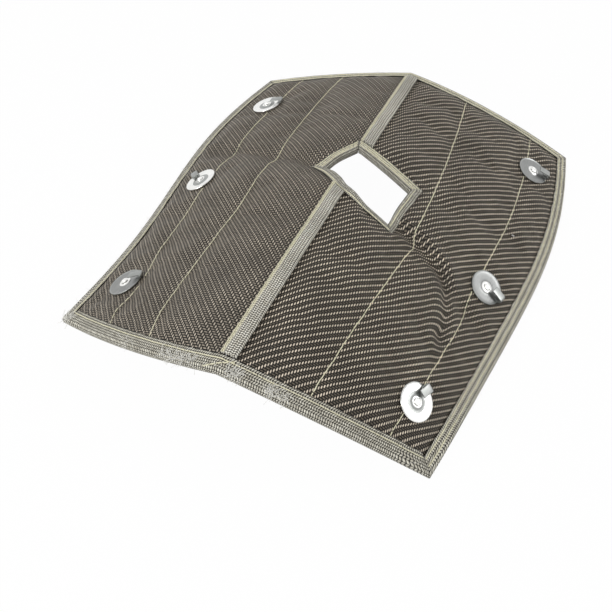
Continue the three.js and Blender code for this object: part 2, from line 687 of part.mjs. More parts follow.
addPiece('quilted_panel_left', quiltedPanel(PANELS.left), cloth);
addPiece('quilted_panel_right', quiltedPanel(PANELS.right), cloth);
addPiece('front_binding', endBinding(-1), tapeCloth);
addPiece('rear_binding', endBinding(1), tapeCloth);
addPiece('left_binding', sideBinding(PANELS.left), tapeCloth);
addPiece('right_binding', sideBinding(PANELS.right), tapeCloth);
addPiece('cutout_binding_left', cutoutBinding(0, 1), tapeCloth);
addPiece('cutout_binding_front', cutoutBinding(1, 3), tapeCloth);
addPiece('cutout_binding_right', cutoutBinding(3, 4), tapeCloth);
addPiece('cutout_binding_rear', cutoutBinding(4, 5), tapeCloth);

const ridgeEnd = RIDGE_LENGTH / 2 - TAPE_WIDTH - 2 * CLEARANCE;
addPiece('seam_tape_front', seamTape(-ridgeEnd, CUTOUT_FRONT[1]), tapeCloth);
addPiece('seam_tape_rear', seamTape(CUTOUT_BACK[1], ridgeEnd), tapeCloth);

const hookWasher = toGeometry(toSolid(hookDisc()).add(toSolid(hookTab())));
const backingWasher = ringOf(BACKING_DIAMETER / 2, RIVET_DIAMETER / 2 + CLEARANCE, BACKING_THICKNESS);

for (const seat of seats) {
  const turned = new THREE.Matrix4().makeRotationZ(THREE.MathUtils.degToRad(seat.turn));
  const onTop = seatMatrix(seat, seatHalf(seat) + CLEARANCE).multiply(turned);
  const underneath = seatMatrix(seat, -seatHalf(seat) - CLEARANCE - BACKING_THICKNESS);
  const rivet = new THREE.LatheGeometry(rivetProfile(seat), 12).rotateX(Math.PI / 2);
  addPiece(`hook_washer_${seat.name}`, hookWasher, stainless, onTop);
  addPiece(`rivet_${seat.name}`, rivet, stainless, seatMatrix(seat, 0));
  addPiece(`backing_washer_${seat.name}`, backingWasher, stainless, underneath);
}

// The blanket stands centred over the origin, on its lowest edge.
blanket.updateMatrixWorld(true);
const box = new THREE.Box3().setFromObject(blanket, true);
const centre = box.getCenter(new THREE.Vector3());
blanket.position.set(-centre.x, -centre.y, -box.min.z);

export default blanket;
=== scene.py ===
# %% [markdown]
# # Turbo heat blanket
# A turbo heat blanket is a quilt for the hot side of a turbocharger. Two panels are joined along a ridge
# seam, so that the blanket folds over the housing like a low tent. Each panel is a sealed pack: woven
# mineral cloth outside, a ceramic fibre mat in the middle, and a plain silica liner on the side that faces
# the housing. Knitted tape binds every edge, and six steel hook washers are there to tie it on by.
#
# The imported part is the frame. Everything made here sits where its solids sit.

import math

import bmesh
import bpy
import numpy as np
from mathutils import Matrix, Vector, noise
from mathutils.bvhtree import BVHTree


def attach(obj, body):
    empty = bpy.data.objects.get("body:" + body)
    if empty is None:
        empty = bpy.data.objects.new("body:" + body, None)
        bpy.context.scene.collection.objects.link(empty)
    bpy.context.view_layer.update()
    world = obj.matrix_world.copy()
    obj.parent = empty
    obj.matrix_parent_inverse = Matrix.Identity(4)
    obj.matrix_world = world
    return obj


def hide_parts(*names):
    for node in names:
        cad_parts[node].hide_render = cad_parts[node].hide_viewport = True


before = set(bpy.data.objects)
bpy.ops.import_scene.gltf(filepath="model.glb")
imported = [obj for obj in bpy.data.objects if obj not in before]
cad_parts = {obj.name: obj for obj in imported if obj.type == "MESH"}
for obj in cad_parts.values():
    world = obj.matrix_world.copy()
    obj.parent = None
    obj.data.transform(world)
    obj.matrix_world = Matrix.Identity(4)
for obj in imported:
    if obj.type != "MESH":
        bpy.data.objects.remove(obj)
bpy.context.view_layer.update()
print("nodes in the part:", len(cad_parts))


def add_object(name, data):
    made = bpy.data.objects.new(name, data)
    bpy.context.scene.collection.objects.link(made)
    return made



# %% [markdown]
# ## The camera
# The photograph was taken from close by, a little to the right of the front edge and well above it. The
# far panel edge is therefore drawn much smaller than the near one. A wide lens near the object gives that
# same narrowing, which a long lens further away wouldn't.

# %% Camera
SIDE_ANGLE = math.radians(25.9)
HEIGHT_ANGLE = math.radians(53.27)
CAMERA_DISTANCE = 0.5002
LOOKS_AT = Vector((0.01551, -0.08519, 0.03603))
FIELD_OF_VIEW = math.radians(44.65)
SENSOR_WIDTH = 36

camera = add_object("photo_camera", bpy.data.cameras.new("photo_camera"))
level = math.cos(HEIGHT_ANGLE)
back = Vector((math.sin(SIDE_ANGLE) * level, -math.cos(SIDE_ANGLE) * level, math.sin(HEIGHT_ANGLE)))
camera.location = LOOKS_AT + CAMERA_DISTANCE * back
camera.rotation_euler = (-back).to_track_quat("-Z", "Y").to_euler()
camera.data.sensor_width = SENSOR_WIDTH
camera.data.lens = SENSOR_WIDTH / 2 / math.tan(FIELD_OF_VIEW / 2)
camera.data.clip_start = 0.01
bpy.context.scene.camera = camera
bpy.context.scene.view_settings.view_transform = "Standard"
print("camera stands at", tuple(round(value, 3) for value in camera.location))

# %% [markdown]
# ## Helpers for materials
# A material is a small graph. Writing the arithmetic of a weave with one line for each node would take
# pages, so a short helper makes a Math node and returns its output, and the graphs read like formulas.

# %% Node helpers
def node(tree, kind, inputs=None, **settings):
    made = tree.nodes.new(kind)
    for name, value in settings.items():
        setattr(made, name, value)
    for name, value in (inputs or {}).items():
        feed(tree, made.inputs[name], value)
    return made


def feed(tree, socket, value):
    if isinstance(value, bpy.types.NodeSocket):
        tree.links.new(value, socket)
    else:
        socket.default_value = value


def calc(tree, operation, *values):
    made = node(tree, "ShaderNodeMath", operation=operation)
    for socket, value in zip(made.inputs, values):
        feed(tree, socket, value)
    return made.outputs[0]


def product(tree, first, second):
    return calc(tree, "MULTIPLY", first, second)


def total(tree, first, second):
    return calc(tree, "ADD", first, second)


def rough_noise(tree, vector, scale, detail=2.0):
    made = node(tree, "ShaderNodeTexNoise", {"Vector": vector, "Scale": scale, "Detail": detail})
    return made.outputs["Fac"]


def raise_surface(tree, shader, distance, height):
    raised = node(tree, "ShaderNodeBump", {"Distance": distance, "Height": height})
    feed(tree, shader.inputs["Normal"], raised.outputs[0])


def seen_directly(tree):
    paths = node(tree, "ShaderNodeLightPath")
    seen = calc(tree, "MAXIMUM", paths.outputs["Is Camera Ray"], paths.outputs["Is Glossy Ray"])
    return calc(tree, "MAXIMUM", seen, paths.outputs["Is Transmission Ray"])


def new_group(name, kind, inputs, outputs):
    group = bpy.data.node_groups.new(name, kind)
    for in_out, sockets in (("INPUT", inputs), ("OUTPUT", outputs)):
        for socket, socket_type in sockets.items():
            group.interface.new_socket(socket, in_out=in_out, socket_type=socket_type)
    return group, node(group, "NodeGroupInput"), node(group, "NodeGroupOutput")


def blend_colours(tree, share, first, second, blend_type="MIX"):
    made = node(
        tree, "ShaderNodeMix",
        {"Factor": share, "A": first, "B": second}, data_type="RGBA", blend_type=blend_type)
    return made.outputs["Result"]


def fit_range(tree, value, low, high, to_low=0.0, to_high=1.0):
    made = node(tree, "ShaderNodeMapRange", clamp=True)
    for socket, number in zip(made.inputs, (value, low, high, to_low, to_high)):
        feed(tree, socket, number)
    return made.outputs[0]


def new_material(name, roughness, metallic=0.0, sheen=0.0, specular=0.5):
    material = bpy.data.materials.new(name)
    material.use_nodes = True
    shader = material.node_tree.nodes["Principled BSDF"]
    shader.inputs["Roughness"].default_value = roughness
    shader.inputs["Metallic"].default_value = metallic
    shader.inputs["Sheen Weight"].default_value = sheen
    shader.inputs["Specular IOR Level"].default_value = specular
    return material, material.node_tree, shader


def rgb(red, green, blue):
    return (red, green, blue, 1.0)


FLOAT = "NodeSocketFloat"
VECTOR = "NodeSocketVector"


# %% [markdown]
# ## Floor and light
# The object stands on a plain white table in soft light. The table's colour, not the lamps, makes it
# white: camera and mirror rays see nearly all of it as plain white, and a small share as a matt surface
# that keeps a trace of the blanket's soft shadow.

# %% Table
def white_floor(name, glow):
    material = bpy.data.materials.new(name)
    material.use_nodes = True
    tree = material.node_tree
    tree.nodes.clear()
    matt = node(tree, "ShaderNodeBsdfDiffuse", {"Color": rgb(0.86, 0.86, 0.86)})
    shine = node(tree, "ShaderNodeEmission", {"Color": rgb(1, 1, 1)})
    mix = node(
        tree, "ShaderNodeMixShader",
        {0: product(tree, seen_directly(tree), glow), 1: matt.outputs[0], 2: shine.outputs[0]})
    node(tree, "ShaderNodeOutputMaterial", {"Surface": mix.outputs[0]})
    return material


def flat_square(name, reach, height):
    mesh = bpy.data.meshes.new(name)
    signs = ((-1, -1), (1, -1), (1, 1), (-1, 1))
    mesh.from_pydata([(reach * x, reach * y, height) for x, y in signs], [], [(0, 1, 2, 3)])
    return add_object(name, mesh)


TABLE_REACH = 6.0
TABLE_HEIGHT = -0.0004
TABLE_GLOW = 0.975
table = flat_square("table_top", TABLE_REACH, TABLE_HEIGHT)
table.data.materials.append(white_floor("table_white", TABLE_GLOW))

# %% Light
ROOM_LIGHT = 0.46
world = bpy.data.worlds.new("soft_room")
world.use_nodes = True
bpy.context.scene.world = world
tree = world.node_tree
tree.nodes.clear()
room = node(
    tree, "ShaderNodeBackground",
    {"Color": rgb(1, 1, 1), "Strength": fit_range(tree, seen_directly(tree), 0.0, 1.0, ROOM_LIGHT, 1.0)})
node(tree, "ShaderNodeOutputWorld", {"Surface": room.outputs[0]})


def soft_lamp(name, place, target, size, power):
    lamp = bpy.data.lights.new(name, "AREA")
    lamp.shape = "SQUARE"
    lamp.size = size
    lamp.energy = power
    made = add_object(name, lamp)
    made.location = place
    made.rotation_euler = (Vector(target) - Vector(place)).to_track_quat("-Z", "Y").to_euler()


soft_lamp("front_lamp", (-0.7, -1.1, 1.1), (0, 0, 0), 0.8, 16)
soft_lamp("side_lamp", (1.3, 0.5, 0.9), (0, 0, 0), 0.7, 7)

# %% [markdown]
# ## The shape of the blanket
# The blanket is soft, but its form follows a rule: a ridge that drops towards the back, two panels that
# slope away from it with a slight belly, a flat strip wherever tape is sewn on, and padding that swells
# between those strips. The rule is written once, in millimetres, as functions of two numbers: how far
# across a panel a point lies, from 0 at the ridge to 1 at the side edge, and how far along, from -1 at the
# front to 1 at the back. Cloth, tape and thread all ask the same functions, so they fit each other.

# %% Sizes of the blanket
MM = 0.001
STANDS_AT = np.array([1.8701, 0.1116, 3.5])
RIDGE_LENGTH = 346.0
RIDGE_DRIFT = (-1.5, -3.0, -11.5)
RIDGE_HEIGHT = (67.0, 63.0, 37.5)
FRONT_BOW = 7.0
FOLD_DEPTH = 4.5
FOLD_RUN = 9.0
FOLD_FADE = 16.0
PAD_THICKNESS = 11.0
FLANGE = 4.0
PUFF_RUN = 15.0
QUILT_PINCH = 3.2
QUILT_RUN = 7.0
TAPE = 1.2
TAPE_WIDTH = 11.0
SEAM_TAPE_WIDTH = 13.0
SEAM_TAPE_LEFT = SEAM_TAPE_WIDTH * 0.26
SIDE_SHOWS = 8.0
FRONT_SHOWS = 10.2
REAR_SHOWS = 7.6
CUTOUT_SHOWS = 7.0
SEAM_GAP = 0.6
CLEARANCE = 0.3
WRAP = TAPE + CLEARANCE
CUTOUT = np.array([(-6, 44), (-22, 21), (3.5, 2), (40, -10), (42, 26)], float)
CORNER_REACH = 1.35
WASHER = 25.4
SEAT_THICKNESS = 6.5
SEAT_HALF = WASHER / 2 + 1.6
SEAT_BLEND = 10.0
SEAT_EDGE = 4.5

LEFT = {
    "name": "left",
    "sign": -1,
    "reach": (150.0, 155.0),
    "widths": (145.5, 145.5, 128.0),
    "wave": 6.0,
    "belly": (6.0, 3.0),
    "lift": 0.0,
    "quilts": (
        ((-0.95, 0.39), (-0.82, 0.433), (-0.6, 0.444), (-0.34, 0.443), (-0.18, 0.423), (0.2, 0.425),
         (1, 0.44)),
        ((-0.94, 0.66), (-0.87, 0.688), (-0.74, 0.676), (-0.49, 0.738), (-0.2, 0.735), (0.2, 0.72),
         (1, 0.72)),
    ),
    "hook_from_edge": 33.0,
    "seam": SEAM_TAPE_LEFT + 1,
    "fold_start": CUTOUT[1],
    "fold_slope": 0.16,
    "swell": 5.0,
}
RIGHT = {
    "name": "right",
    "sign": 1,
    "reach": (148.0, 171.0),
    "widths": (130.5, 149.5, 144.5),
    "wave": 3.0,
    "belly": (16.0, 6.0),
    "lift": 1.5,
    "quilts": (
        ((-0.97, 0.409), (-0.63, 0.416), (-0.32, 0.432), (-0.12, 0.446), (-0.06, 0.422), (0.09, 0.415),
         (1, 0.36)),
        ((-0.99, 0.765), (-0.85, 0.772), (-0.68, 0.785), (-0.37, 0.792), (-0.16, 0.76), (0.3, 0.77),
         (1, 0.77)),
    ),
    "hook_from_edge": 30.0,
    "seam": SEAM_TAPE_WIDTH - SEAM_TAPE_LEFT + 1,
    "fold_start": CUTOUT[3],
    "fold_slope": 0.39,
    "swell": 0.0,
}
WASHERS = {
    "front_right": (RIGHT, -0.69, 68.0),
    "middle_right": (RIGHT, -0.063, -14.0),
    "rear_right": (RIGHT, 0.725, 10.0),
    "front_left": (LEFT, -0.67, 18.0),
    "middle_left": (LEFT, -0.03, 137.0),
    "rear_left": (LEFT, 0.615, 8.0),
}

# %% The rule for the cloth's middle surface
def smooth(value):
    value = np.clip(value, 0, 1)
    return value * value * (3 - 2 * value)


def mix(first, second, share):
    return first + (second - first) * share


def through_three(values, t):
    front, middle, rear = values
    return middle + (rear - front) / 2 * t + ((front + rear) / 2 - middle) * t * t


def width_of(panel, along):
    return through_three(panel["widths"], along) + panel["wave"] * np.sin(np.pi * along)


def quilt_lines(panel, along):
    return [np.interp(along, *zip(*line)) for line in panel["quilts"]]


def front_y(panel, across):
    return -mix(RIDGE_LENGTH / 2, panel["reach"][0], across) - 4 * FRONT_BOW * across * (1 - across)


def back_y(panel, across):
    return mix(RIDGE_LENGTH / 2, panel["reach"][1], across)


def plan_point(panel, across, along):
    x = through_three(RIDGE_DRIFT, along) + panel["sign"] * width_of(panel, along) * across
    return x, mix(front_y(panel, across), back_y(panel, across), (along + 1) / 2)


def cloth_place(panel, x, y):
    along = y / (RIDGE_LENGTH / 2) + 0 * x
    across = 0 * along
    for _ in range(12):
        across = panel["sign"] * (x - through_three(RIDGE_DRIFT, along)) / width_of(panel, along)
        front = front_y(panel, across)
        along = 2 * (y - front) / (back_y(panel, across) - front) - 1
    return across, along


def tape_distances(panel, across, along):
    width = width_of(panel, along)
    half_run = (back_y(panel, across) - front_y(panel, across)) / 2
    edge = width * (1 - across) - SIDE_SHOWS
    seam = width * across - panel["seam"]
    return edge, seam, half_run * (1 + along) - FRONT_SHOWS, half_run * (1 - along) - REAR_SHOWS


def arch_height(panel, across, along):
    x, y = plan_point(panel, across, along)
    lift = panel["lift"] * (1 - along * along)
    belly = mix(panel["belly"][0], panel["belly"][1], (along + 1) / 2)
    edge, seam, _, _ = tape_distances(panel, across, along)
    inside = smooth(edge / FOLD_FADE) * smooth(seam / FOLD_FADE)
    fold_y = panel["fold_start"][1] - panel["fold_slope"] * (x - panel["fold_start"][0])
    fold = FOLD_DEPTH * np.exp(-(((y - fold_y) / FOLD_RUN) ** 2)) * inside
    swell = panel["swell"] * np.exp(-(((y + 8) / 28) ** 2))
    rise = mix(through_three(RIDGE_HEIGHT, along), lift, across)
    return rise + (belly + swell) * 4 * across * (1 - across) - fold


# %% [markdown]
# The cutout is a five-sided hole with straight sides. Its outline can be moved outwards, for the edge of
# the cloth and for the far edge of its tape, and the sharpest corners are cut short as a tape's mitre is.

# %% The cutout and the padding
def cutout_outline(distance):
    points = []
    for k, corner in enumerate(CUTOUT):
        before, after = CUTOUT[k - 1], CUTOUT[(k + 1) % 5]
        run_in = (corner - before) / np.linalg.norm(corner - before)
        run_out = (after - corner) / np.linalg.norm(after - corner)
        n1 = np.array([run_in[1], -run_in[0]])
        n2 = np.array([run_out[1], -run_out[0]])
        reach = distance * min(1 / (1 + n1 @ n2), CORNER_REACH / np.linalg.norm(n1 + n2))
        points.append(corner + (n1 + n2) * reach)
    return np.array(points)


def outside_of(outline, x, y):
    distance = np.full(np.shape(x), -1e9)
    for a, b in zip(outline, np.roll(outline, -1, axis=0)):
        run = (b - a) / np.linalg.norm(b - a)
        distance = np.maximum(distance, (x - a[0]) * run[1] - (y - a[1]) * run[0])
    return distance


def make_seat(panel, share):
    y = share * RIDGE_LENGTH / 2
    x = np.float64(panel["sign"] * panel["widths"][1])
    for _ in range(6):
        along = cloth_place(panel, x, y)[1]
        off_ridge = width_of(panel, along) - panel["hook_from_edge"]
        x = through_three(RIDGE_DRIFT, along) + panel["sign"] * off_ridge
    height = lambda px, py: float(arch_height(panel, *cloth_place(panel, px, py)))
    reach = WASHER / 2
    slope_x = (height(x + reach, y) - height(x - reach, y)) / (2 * reach)
    slope_y = (height(x, y + reach) - height(x, y - reach)) / (2 * reach)
    return {"panel": panel, "x": float(x), "y": y, "z": height(x, y), "slopes": (slope_x, slope_y)}


SEATS = {name: make_seat(panel, share) for name, (panel, share, _) in WASHERS.items()}
CUT_LINE = cutout_outline(WRAP)
TAPE_LINE = cutout_outline(WRAP + TAPE_WIDTH)
PUFF_LINE = cutout_outline(WRAP + CUTOUT_SHOWS)


def padding(panel, across, along):
    x, y = plan_point(panel, across, along)
    distances = tape_distances(panel, across, along)
    to_tape = np.minimum.reduce(distances)
    puff = 1.0
    for distance in (*distances, outside_of(PUFF_LINE, x, y)):
        puff = puff * np.sqrt(1 - (1 - np.clip(distance / PUFF_RUN, 0, 1)) ** 2)
    width = panel["widths"][1]
    sewn = sum(np.exp(-(((across - line) * width / QUILT_RUN) ** 2)) for line in quilt_lines(panel, along))
    middle = arch_height(panel, across, along)
    thickness = FLANGE + (PAD_THICKNESS - QUILT_PINCH * sewn - FLANGE) * puff
    for seat in SEATS.values():
        if seat["panel"] is panel:
            off = np.maximum(np.abs(x - seat["x"]), np.abs(y - seat["y"])) - SEAT_HALF
            share = (1 - smooth(off / SEAT_BLEND)) * smooth(to_tape / SEAT_EDGE)
            plane = seat["z"] + seat["slopes"][0] * (x - seat["x"]) + seat["slopes"][1] * (y - seat["y"])
            middle = mix(middle, plane, share)
            thickness = mix(thickness, SEAT_THICKNESS, share)
    return x, y, middle, thickness


def in_frame(points):
    return (np.asarray(points, float) + STANDS_AT) * MM


# %% [markdown]
# Packed flat for a long time, the right panel has taken a sharp crease that runs from the corner of the
# cutout towards the middle washer and then turns to the front. The padding stands up on both sides of it,
# and behind it the cloth has slipped, so that the lines of the weave bend.

# %% Crease of the right panel
CREASE = np.array(
    [(50, -12), (62, -14), (74, -18.5), (84, -25), (91, -34), (96, -46), (100, -60), (102, -72)], float)
SHOULDER_RISE, SHOULDER_OFF, SHOULDER_RUN = 1.9, 8.0, 4.0
GROOVE_DEPTH, GROOVE_RUN = 3.2, 3.0
WEAVE_SLIP, SLIP_RUN = 8.0, 11.0


def crease_place(points):
    distance, side = np.full(len(points), 1e9), np.zeros(len(points))
    for a, b in zip(CREASE, CREASE[1:]):
        run = b - a
        share = np.clip(((points - a) @ run) / (run @ run), 0, 1)[:, None]
        off = points - a - share * run
        near = np.linalg.norm(off, axis=1)
        side = np.where(near < distance, np.sign(run[0] * off[:, 1] - run[1] * off[:, 0]), side)
        distance = np.minimum(distance, near)
    return distance, side


def crease_height(panel, points):
    if panel is not RIGHT:
        return np.zeros(len(points))
    distance = crease_place(points)[0]
    shoulder = SHOULDER_RISE * np.exp(-(((distance - SHOULDER_OFF) / SHOULDER_RUN) ** 2))
    return shoulder - GROOVE_DEPTH * np.exp(-((distance / GROOVE_RUN) ** 2))


def weave_turn(panel, points):
    if panel is not RIGHT:
        return np.zeros(len(points))
    distance, side = crease_place(points)
    return WEAVE_SLIP * np.exp(-distance / SLIP_RUN) * (side > 0)


# %% [markdown]
# ## Quilted panels
# The maker sews cloth, mat and liner together along two lines on each panel, and the mat pushes the cloth
# out between the lines. Three ways could show that. A bump map gives no outline, and a hand-made swell
# looks moulded. Here the panel is a closed shell on the blanket's rule, pinned where thread or tape holds
# it, and the cloth solver blows it up a little with air. The cloth is given slightly more length
# than its frame, so the solver finds the small puckers at the seams by itself.

# %% Shell of one panel
COLUMN_STEP = 2.9
ROW_STEP = 3.0


def panel_grid(panel):
    width = panel["widths"][1]
    rows = np.linspace(-1, 1, round(sum(panel["reach"]) / ROW_STEP) + 1)
    marks = [SEAM_GAP / 2 / width + 0 * rows, *quilt_lines(panel, rows), 1 + 0 * rows]
    columns = [marks[0]]
    for a, b in zip(marks, marks[1:]):
        count = max(2, round((b - a).mean() * width / COLUMN_STEP))
        columns.extend(mix(a, b, step / count) for step in range(1, count + 1))
    across = np.stack(columns, -1)
    return across, np.repeat(rows[:, None], across.shape[1], 1)


def uneven(points, size, seed):
    return np.array([noise.noise(Vector(p) / size + Vector((seed, 3 * seed, 7 * seed))) for p in points])


def write_weave(mesh, flat):
    loops = np.empty(len(mesh.loops), int)
    mesh.loops.foreach_get("vertex_index", loops)
    mesh.uv_layers.new(name="weave").data.foreach_set("uv", flat[loops % len(flat)].ravel())


def vertex_values(mesh, name):
    values = np.empty(len(mesh.vertices) * 3)
    mesh.vertices.foreach_get(name, values)
    return values.reshape(-1, 3)


def even_normals(mesh, weld=0.0):
    shell = bmesh.new()
    shell.from_mesh(mesh)
    if weld:
        bmesh.ops.remove_doubles(shell, verts=shell.verts, dist=weld)
    bmesh.ops.recalc_face_normals(shell, faces=shell.faces)
    shell.to_mesh(mesh)
    shell.free()


def panel_shell(panel):
    across, along = panel_grid(panel)
    x, y, middle, thickness = padding(panel, across, along)
    rows, columns = across.shape
    at = np.arange(rows * columns).reshape(rows, columns)
    top = np.stack([x, y, middle + thickness / 2], -1).reshape(-1, 3)
    low = np.stack([x, y, middle - thickness / 2], -1).reshape(-1, 3)
    centres = [(grid[:-1, :-1] + grid[1:, 1:]) / 2 for grid in (across, along)]
    keep = outside_of(CUT_LINE, *plan_point(panel, *centres)) > 0
    corners = np.stack([at[:-1, :-1], at[:-1, 1:], at[1:, 1:], at[1:, :-1]], -1)[keep]
    if panel["sign"] < 0:
        corners = corners[:, ::-1]
    count = rows * columns
    faces = np.concatenate([corners, corners[:, ::-1] + count])
    mesh = bpy.data.meshes.new("quilted_cover_" + panel["name"])
    mesh.from_pydata(np.concatenate([top, low]).tolist(), [], faces.tolist())
    rise = np.diff(middle + thickness / 2, axis=1)
    steps = np.sqrt(np.diff(x, axis=1) ** 2 + rise ** 2)
    over = np.concatenate([np.zeros((rows, 1)), np.cumsum(steps, axis=1)], 1)
    flat = np.stack([over, y], -1).reshape(-1, 2)
    flat[:, 1] += weave_turn(panel, np.stack([x, y], -1).reshape(-1, 2))
    write_weave(mesh, flat)
    return mesh, count


# %% [markdown]
# The shell is open at its rims. Its cut edge round the flange cutout is moved onto the true line, then each
# rim of the top is joined to the rim below it, and loose points inside the hole go.

# %% Close the shell
RIM_REACH = 3.2


def close_shell(mesh, count):
    shell = bmesh.new()
    shell.from_mesh(mesh)
    shell.verts.ensure_lookup_table()
    rims = [edge for edge in shell.edges if edge.is_boundary and edge.verts[0].index < count]
    for vert in {v for edge in rims for v in edge.verts}:
        x, y = vert.co.x, vert.co.y
        if abs(float(outside_of(CUT_LINE, x, y))) < RIM_REACH:
            best = min((nearest_on(a, b, x, y) for a, b in zip(CUT_LINE, np.roll(CUT_LINE, -1, axis=0))))
            for v in (vert, shell.verts[vert.index + count]):
                v.co.x, v.co.y = best[1], best[2]
    for edge in rims:
        a, b = edge.verts
        loop = edge.link_loops[0]
        if loop.vert is a:
            a, b = b, a
        shell.faces.new((a, b, shell.verts[b.index + count], shell.verts[a.index + count]))
    bmesh.ops.delete(shell, geom=[v for v in shell.verts if not v.link_faces], context="VERTS")
    bmesh.ops.recalc_face_normals(shell, faces=shell.faces)
    shell.to_mesh(mesh)
    shell.free()


def nearest_on(a, b, x, y):
    run = b - a
    share = min(1, max(0, ((x - a[0]) * run[0] + (y - a[1]) * run[1]) / (run @ run)))
    px, py = a + share * run
    return math.hypot(px - x, py - y), px, py


# %% [markdown]
# Each point knows how firmly it is held: fully under tape, at a quilting line and under a washer, and not
# at all in the middle of a puff. The solver reads that as a vertex group.

# %% Blow up the shell
PUFF_CAP = 2.6
LUMP_RISE = 0.7
LUMP_SIZE = 21
TAPE_GRIP = 2.5
THREAD_HALF, THREAD_GRIP = 0.7, 1.6
WASHER_MARGIN, WASHER_GRIP = 0.8, 3
SOLVER_FRAMES = 20
SOLVER = {
    "quality": 4,
    "mass": 0.25,
    "vertex_group_mass": "sewn",
    "tension_stiffness": 8,
    "compression_stiffness": 8,
    "shear_stiffness": 4,
    "bending_stiffness": 0.05,
    "shrink_min": -0.018,
    "use_pressure": True,
    "uniform_pressure_force": 4.0,
}


def held_share(panel, co):
    across, along = cloth_place(panel, co[:, 0], co[:, 1])
    distances = [*tape_distances(panel, across, along), outside_of(PUFF_LINE, co[:, 0], co[:, 1])]
    held = 1 - smooth(np.minimum.reduce(distances) / TAPE_GRIP)
    for line in quilt_lines(panel, along):
        off = np.abs(across - line) * panel["widths"][1] - THREAD_HALF
        held = np.maximum(held, 1 - smooth(off / THREAD_GRIP))
    for seat in SEATS.values():
        if seat["panel"] is panel:
            off = np.hypot(co[:, 0] - seat["x"], co[:, 1] - seat["y"]) - WASHER / 2 - WASHER_MARGIN
            held = np.maximum(held, 1 - smooth(off / WASHER_GRIP))
    return held


def blow_up(made, held):
    group = made.vertex_groups.new(name="sewn")
    for k, share in enumerate(held):
        group.add([k], float(share), "REPLACE")
    cloth = made.modifiers.new("puff", "CLOTH")
    for setting, value in SOLVER.items():
        setattr(cloth.settings, setting, value)
    cloth.settings.effector_weights.gravity = 0
    cloth.collision_settings.use_collision = False
    cloth.point_cache.frame_start = 1
    cloth.point_cache.frame_end = SOLVER_FRAMES
    for number in range(1, SOLVER_FRAMES + 1):
        bpy.context.scene.frame_set(number)
    shown = made.evaluated_get(bpy.context.evaluated_depsgraph_get())
    moved = vertex_values(shown.data, "co")
    made.modifiers.remove(cloth)
    bpy.context.scene.frame_set(1)
    made.vertex_groups.clear()
    return moved


def cover(panel):
    mesh, count = panel_shell(panel)
    close_shell(mesh, count)
    co = vertex_values(mesh, "co")
    held = held_share(panel, co)
    normals = vertex_values(mesh, "normal")
    loose = (1 - held)[:, None] * normals
    co = co + loose * LUMP_RISE * uneven(co, LUMP_SIZE, 4 + panel["sign"])[:, None]
    upper = normals[:, 2] > 0.3
    co[:, 2] += crease_height(panel, co[:, :2]) * upper * (1 - held)
    made = add_object("quilted_cover_" + panel["name"], mesh)
    mesh.vertices.foreach_set("co", in_frame(co).ravel())
    mesh.update()
    moved = blow_up(made, held) / MM - STANDS_AT
    shift = moved - co
    length = np.linalg.norm(shift, axis=1)[:, None]
    print(made.name, "moved by the solver, on average", round(float(length.mean()), 2), "mm")
    co = co + shift * np.minimum(1, PUFF_CAP / np.maximum(length, 1e-9))
    mesh.vertices.foreach_set("co", in_frame(co).ravel())
    mesh.update()
    mesh.shade_smooth()
    finer = made.modifiers.new("finer", "SUBSURF")
    finer.levels = 1
    finer.render_levels = 1
    finer.boundary_smooth = "PRESERVE_CORNERS"
    return made


covers = {panel["name"]: cover(panel) for panel in (LEFT, RIGHT)}
for made in covers.values():
    print(made.name, len(made.data.polygons), "faces")

# %% [markdown]
# ## Woven cloth
# The cover is a two-by-two twill: each weft yarn passes over two warp yarns and under two, one step along
# in each row, which draws the slanted lines on the photograph. The yarns are about 1.5 mm wide. A picture
# of the weave can't be used here, and real yarns would be many thousands of pieces, so a node group works
# out from the cloth's own coordinates in millimetres which yarn is on top, and how high it bulges there.

# %% Twill group
def twill_group():
    group, start, end = new_group(
        "Twill yarns", "ShaderNodeTree", {"Cloth": VECTOR, "Warp Spacing": FLOAT, "Weft Spacing": FLOAT},
        {"Weft On Top": FLOAT, "Height": FLOAT, "Yarn Tone": FLOAT})
    parts = node(group, "ShaderNodeSeparateXYZ", {0: start.outputs["Cloth"]})
    u = calc(group, "DIVIDE", parts.outputs[0], start.outputs["Warp Spacing"])
    v = calc(group, "DIVIDE", parts.outputs[1], start.outputs["Weft Spacing"])
    column = calc(group, "FLOOR", u)
    row = calc(group, "FLOOR", v)
    turn = calc(group, "FLOORED_MODULO", calc(group, "SUBTRACT", column, row), 4.0)
    weft = calc(group, "LESS_THAN", turn, 1.5)
    weft_run = calc(group, "DIVIDE", calc(group, "FLOORED_MODULO", calc(group, "SUBTRACT", u, row), 4.0), 2.0)
    warp_run = calc(group, "FLOORED_MODULO", calc(group, "SUBTRACT", v, column), 4.0)
    warp_run = calc(group, "DIVIDE", calc(group, "SUBTRACT", warp_run, 1.0), 2.0)

    def arch(value):
        inside = calc(group, "MINIMUM", calc(group, "MAXIMUM", value, 0.0), 1.0)
        return calc(group, "SINE", product(group, inside, math.pi))

    def pillow(run, side):
        over = total(group, product(group, calc(group, "POWER", arch(run), 0.8), 0.75), 0.25)
        return product(group, over, calc(group, "POWER", arch(calc(group, "FRACT", side)), 0.9))

    weft_height = pillow(weft_run, v)
    warp_height = pillow(warp_run, u)
    pick = node(
        group, "ShaderNodeMix", {"Factor": weft, "A": warp_height, "B": weft_height}, data_type="FLOAT")
    which = node(
        group, "ShaderNodeMix",
        {"Factor": weft, "A": column, "B": total(group, row, 500.5)}, data_type="FLOAT")
    tone = node(group, "ShaderNodeTexWhiteNoise", {"W": which.outputs[0]}, noise_dimensions="1D")
    feed(group, end.inputs["Weft On Top"], weft)
    feed(group, end.inputs["Height"], pick.outputs[0])
    feed(group, end.inputs["Yarn Tone"], tone.outputs[0])
    return group


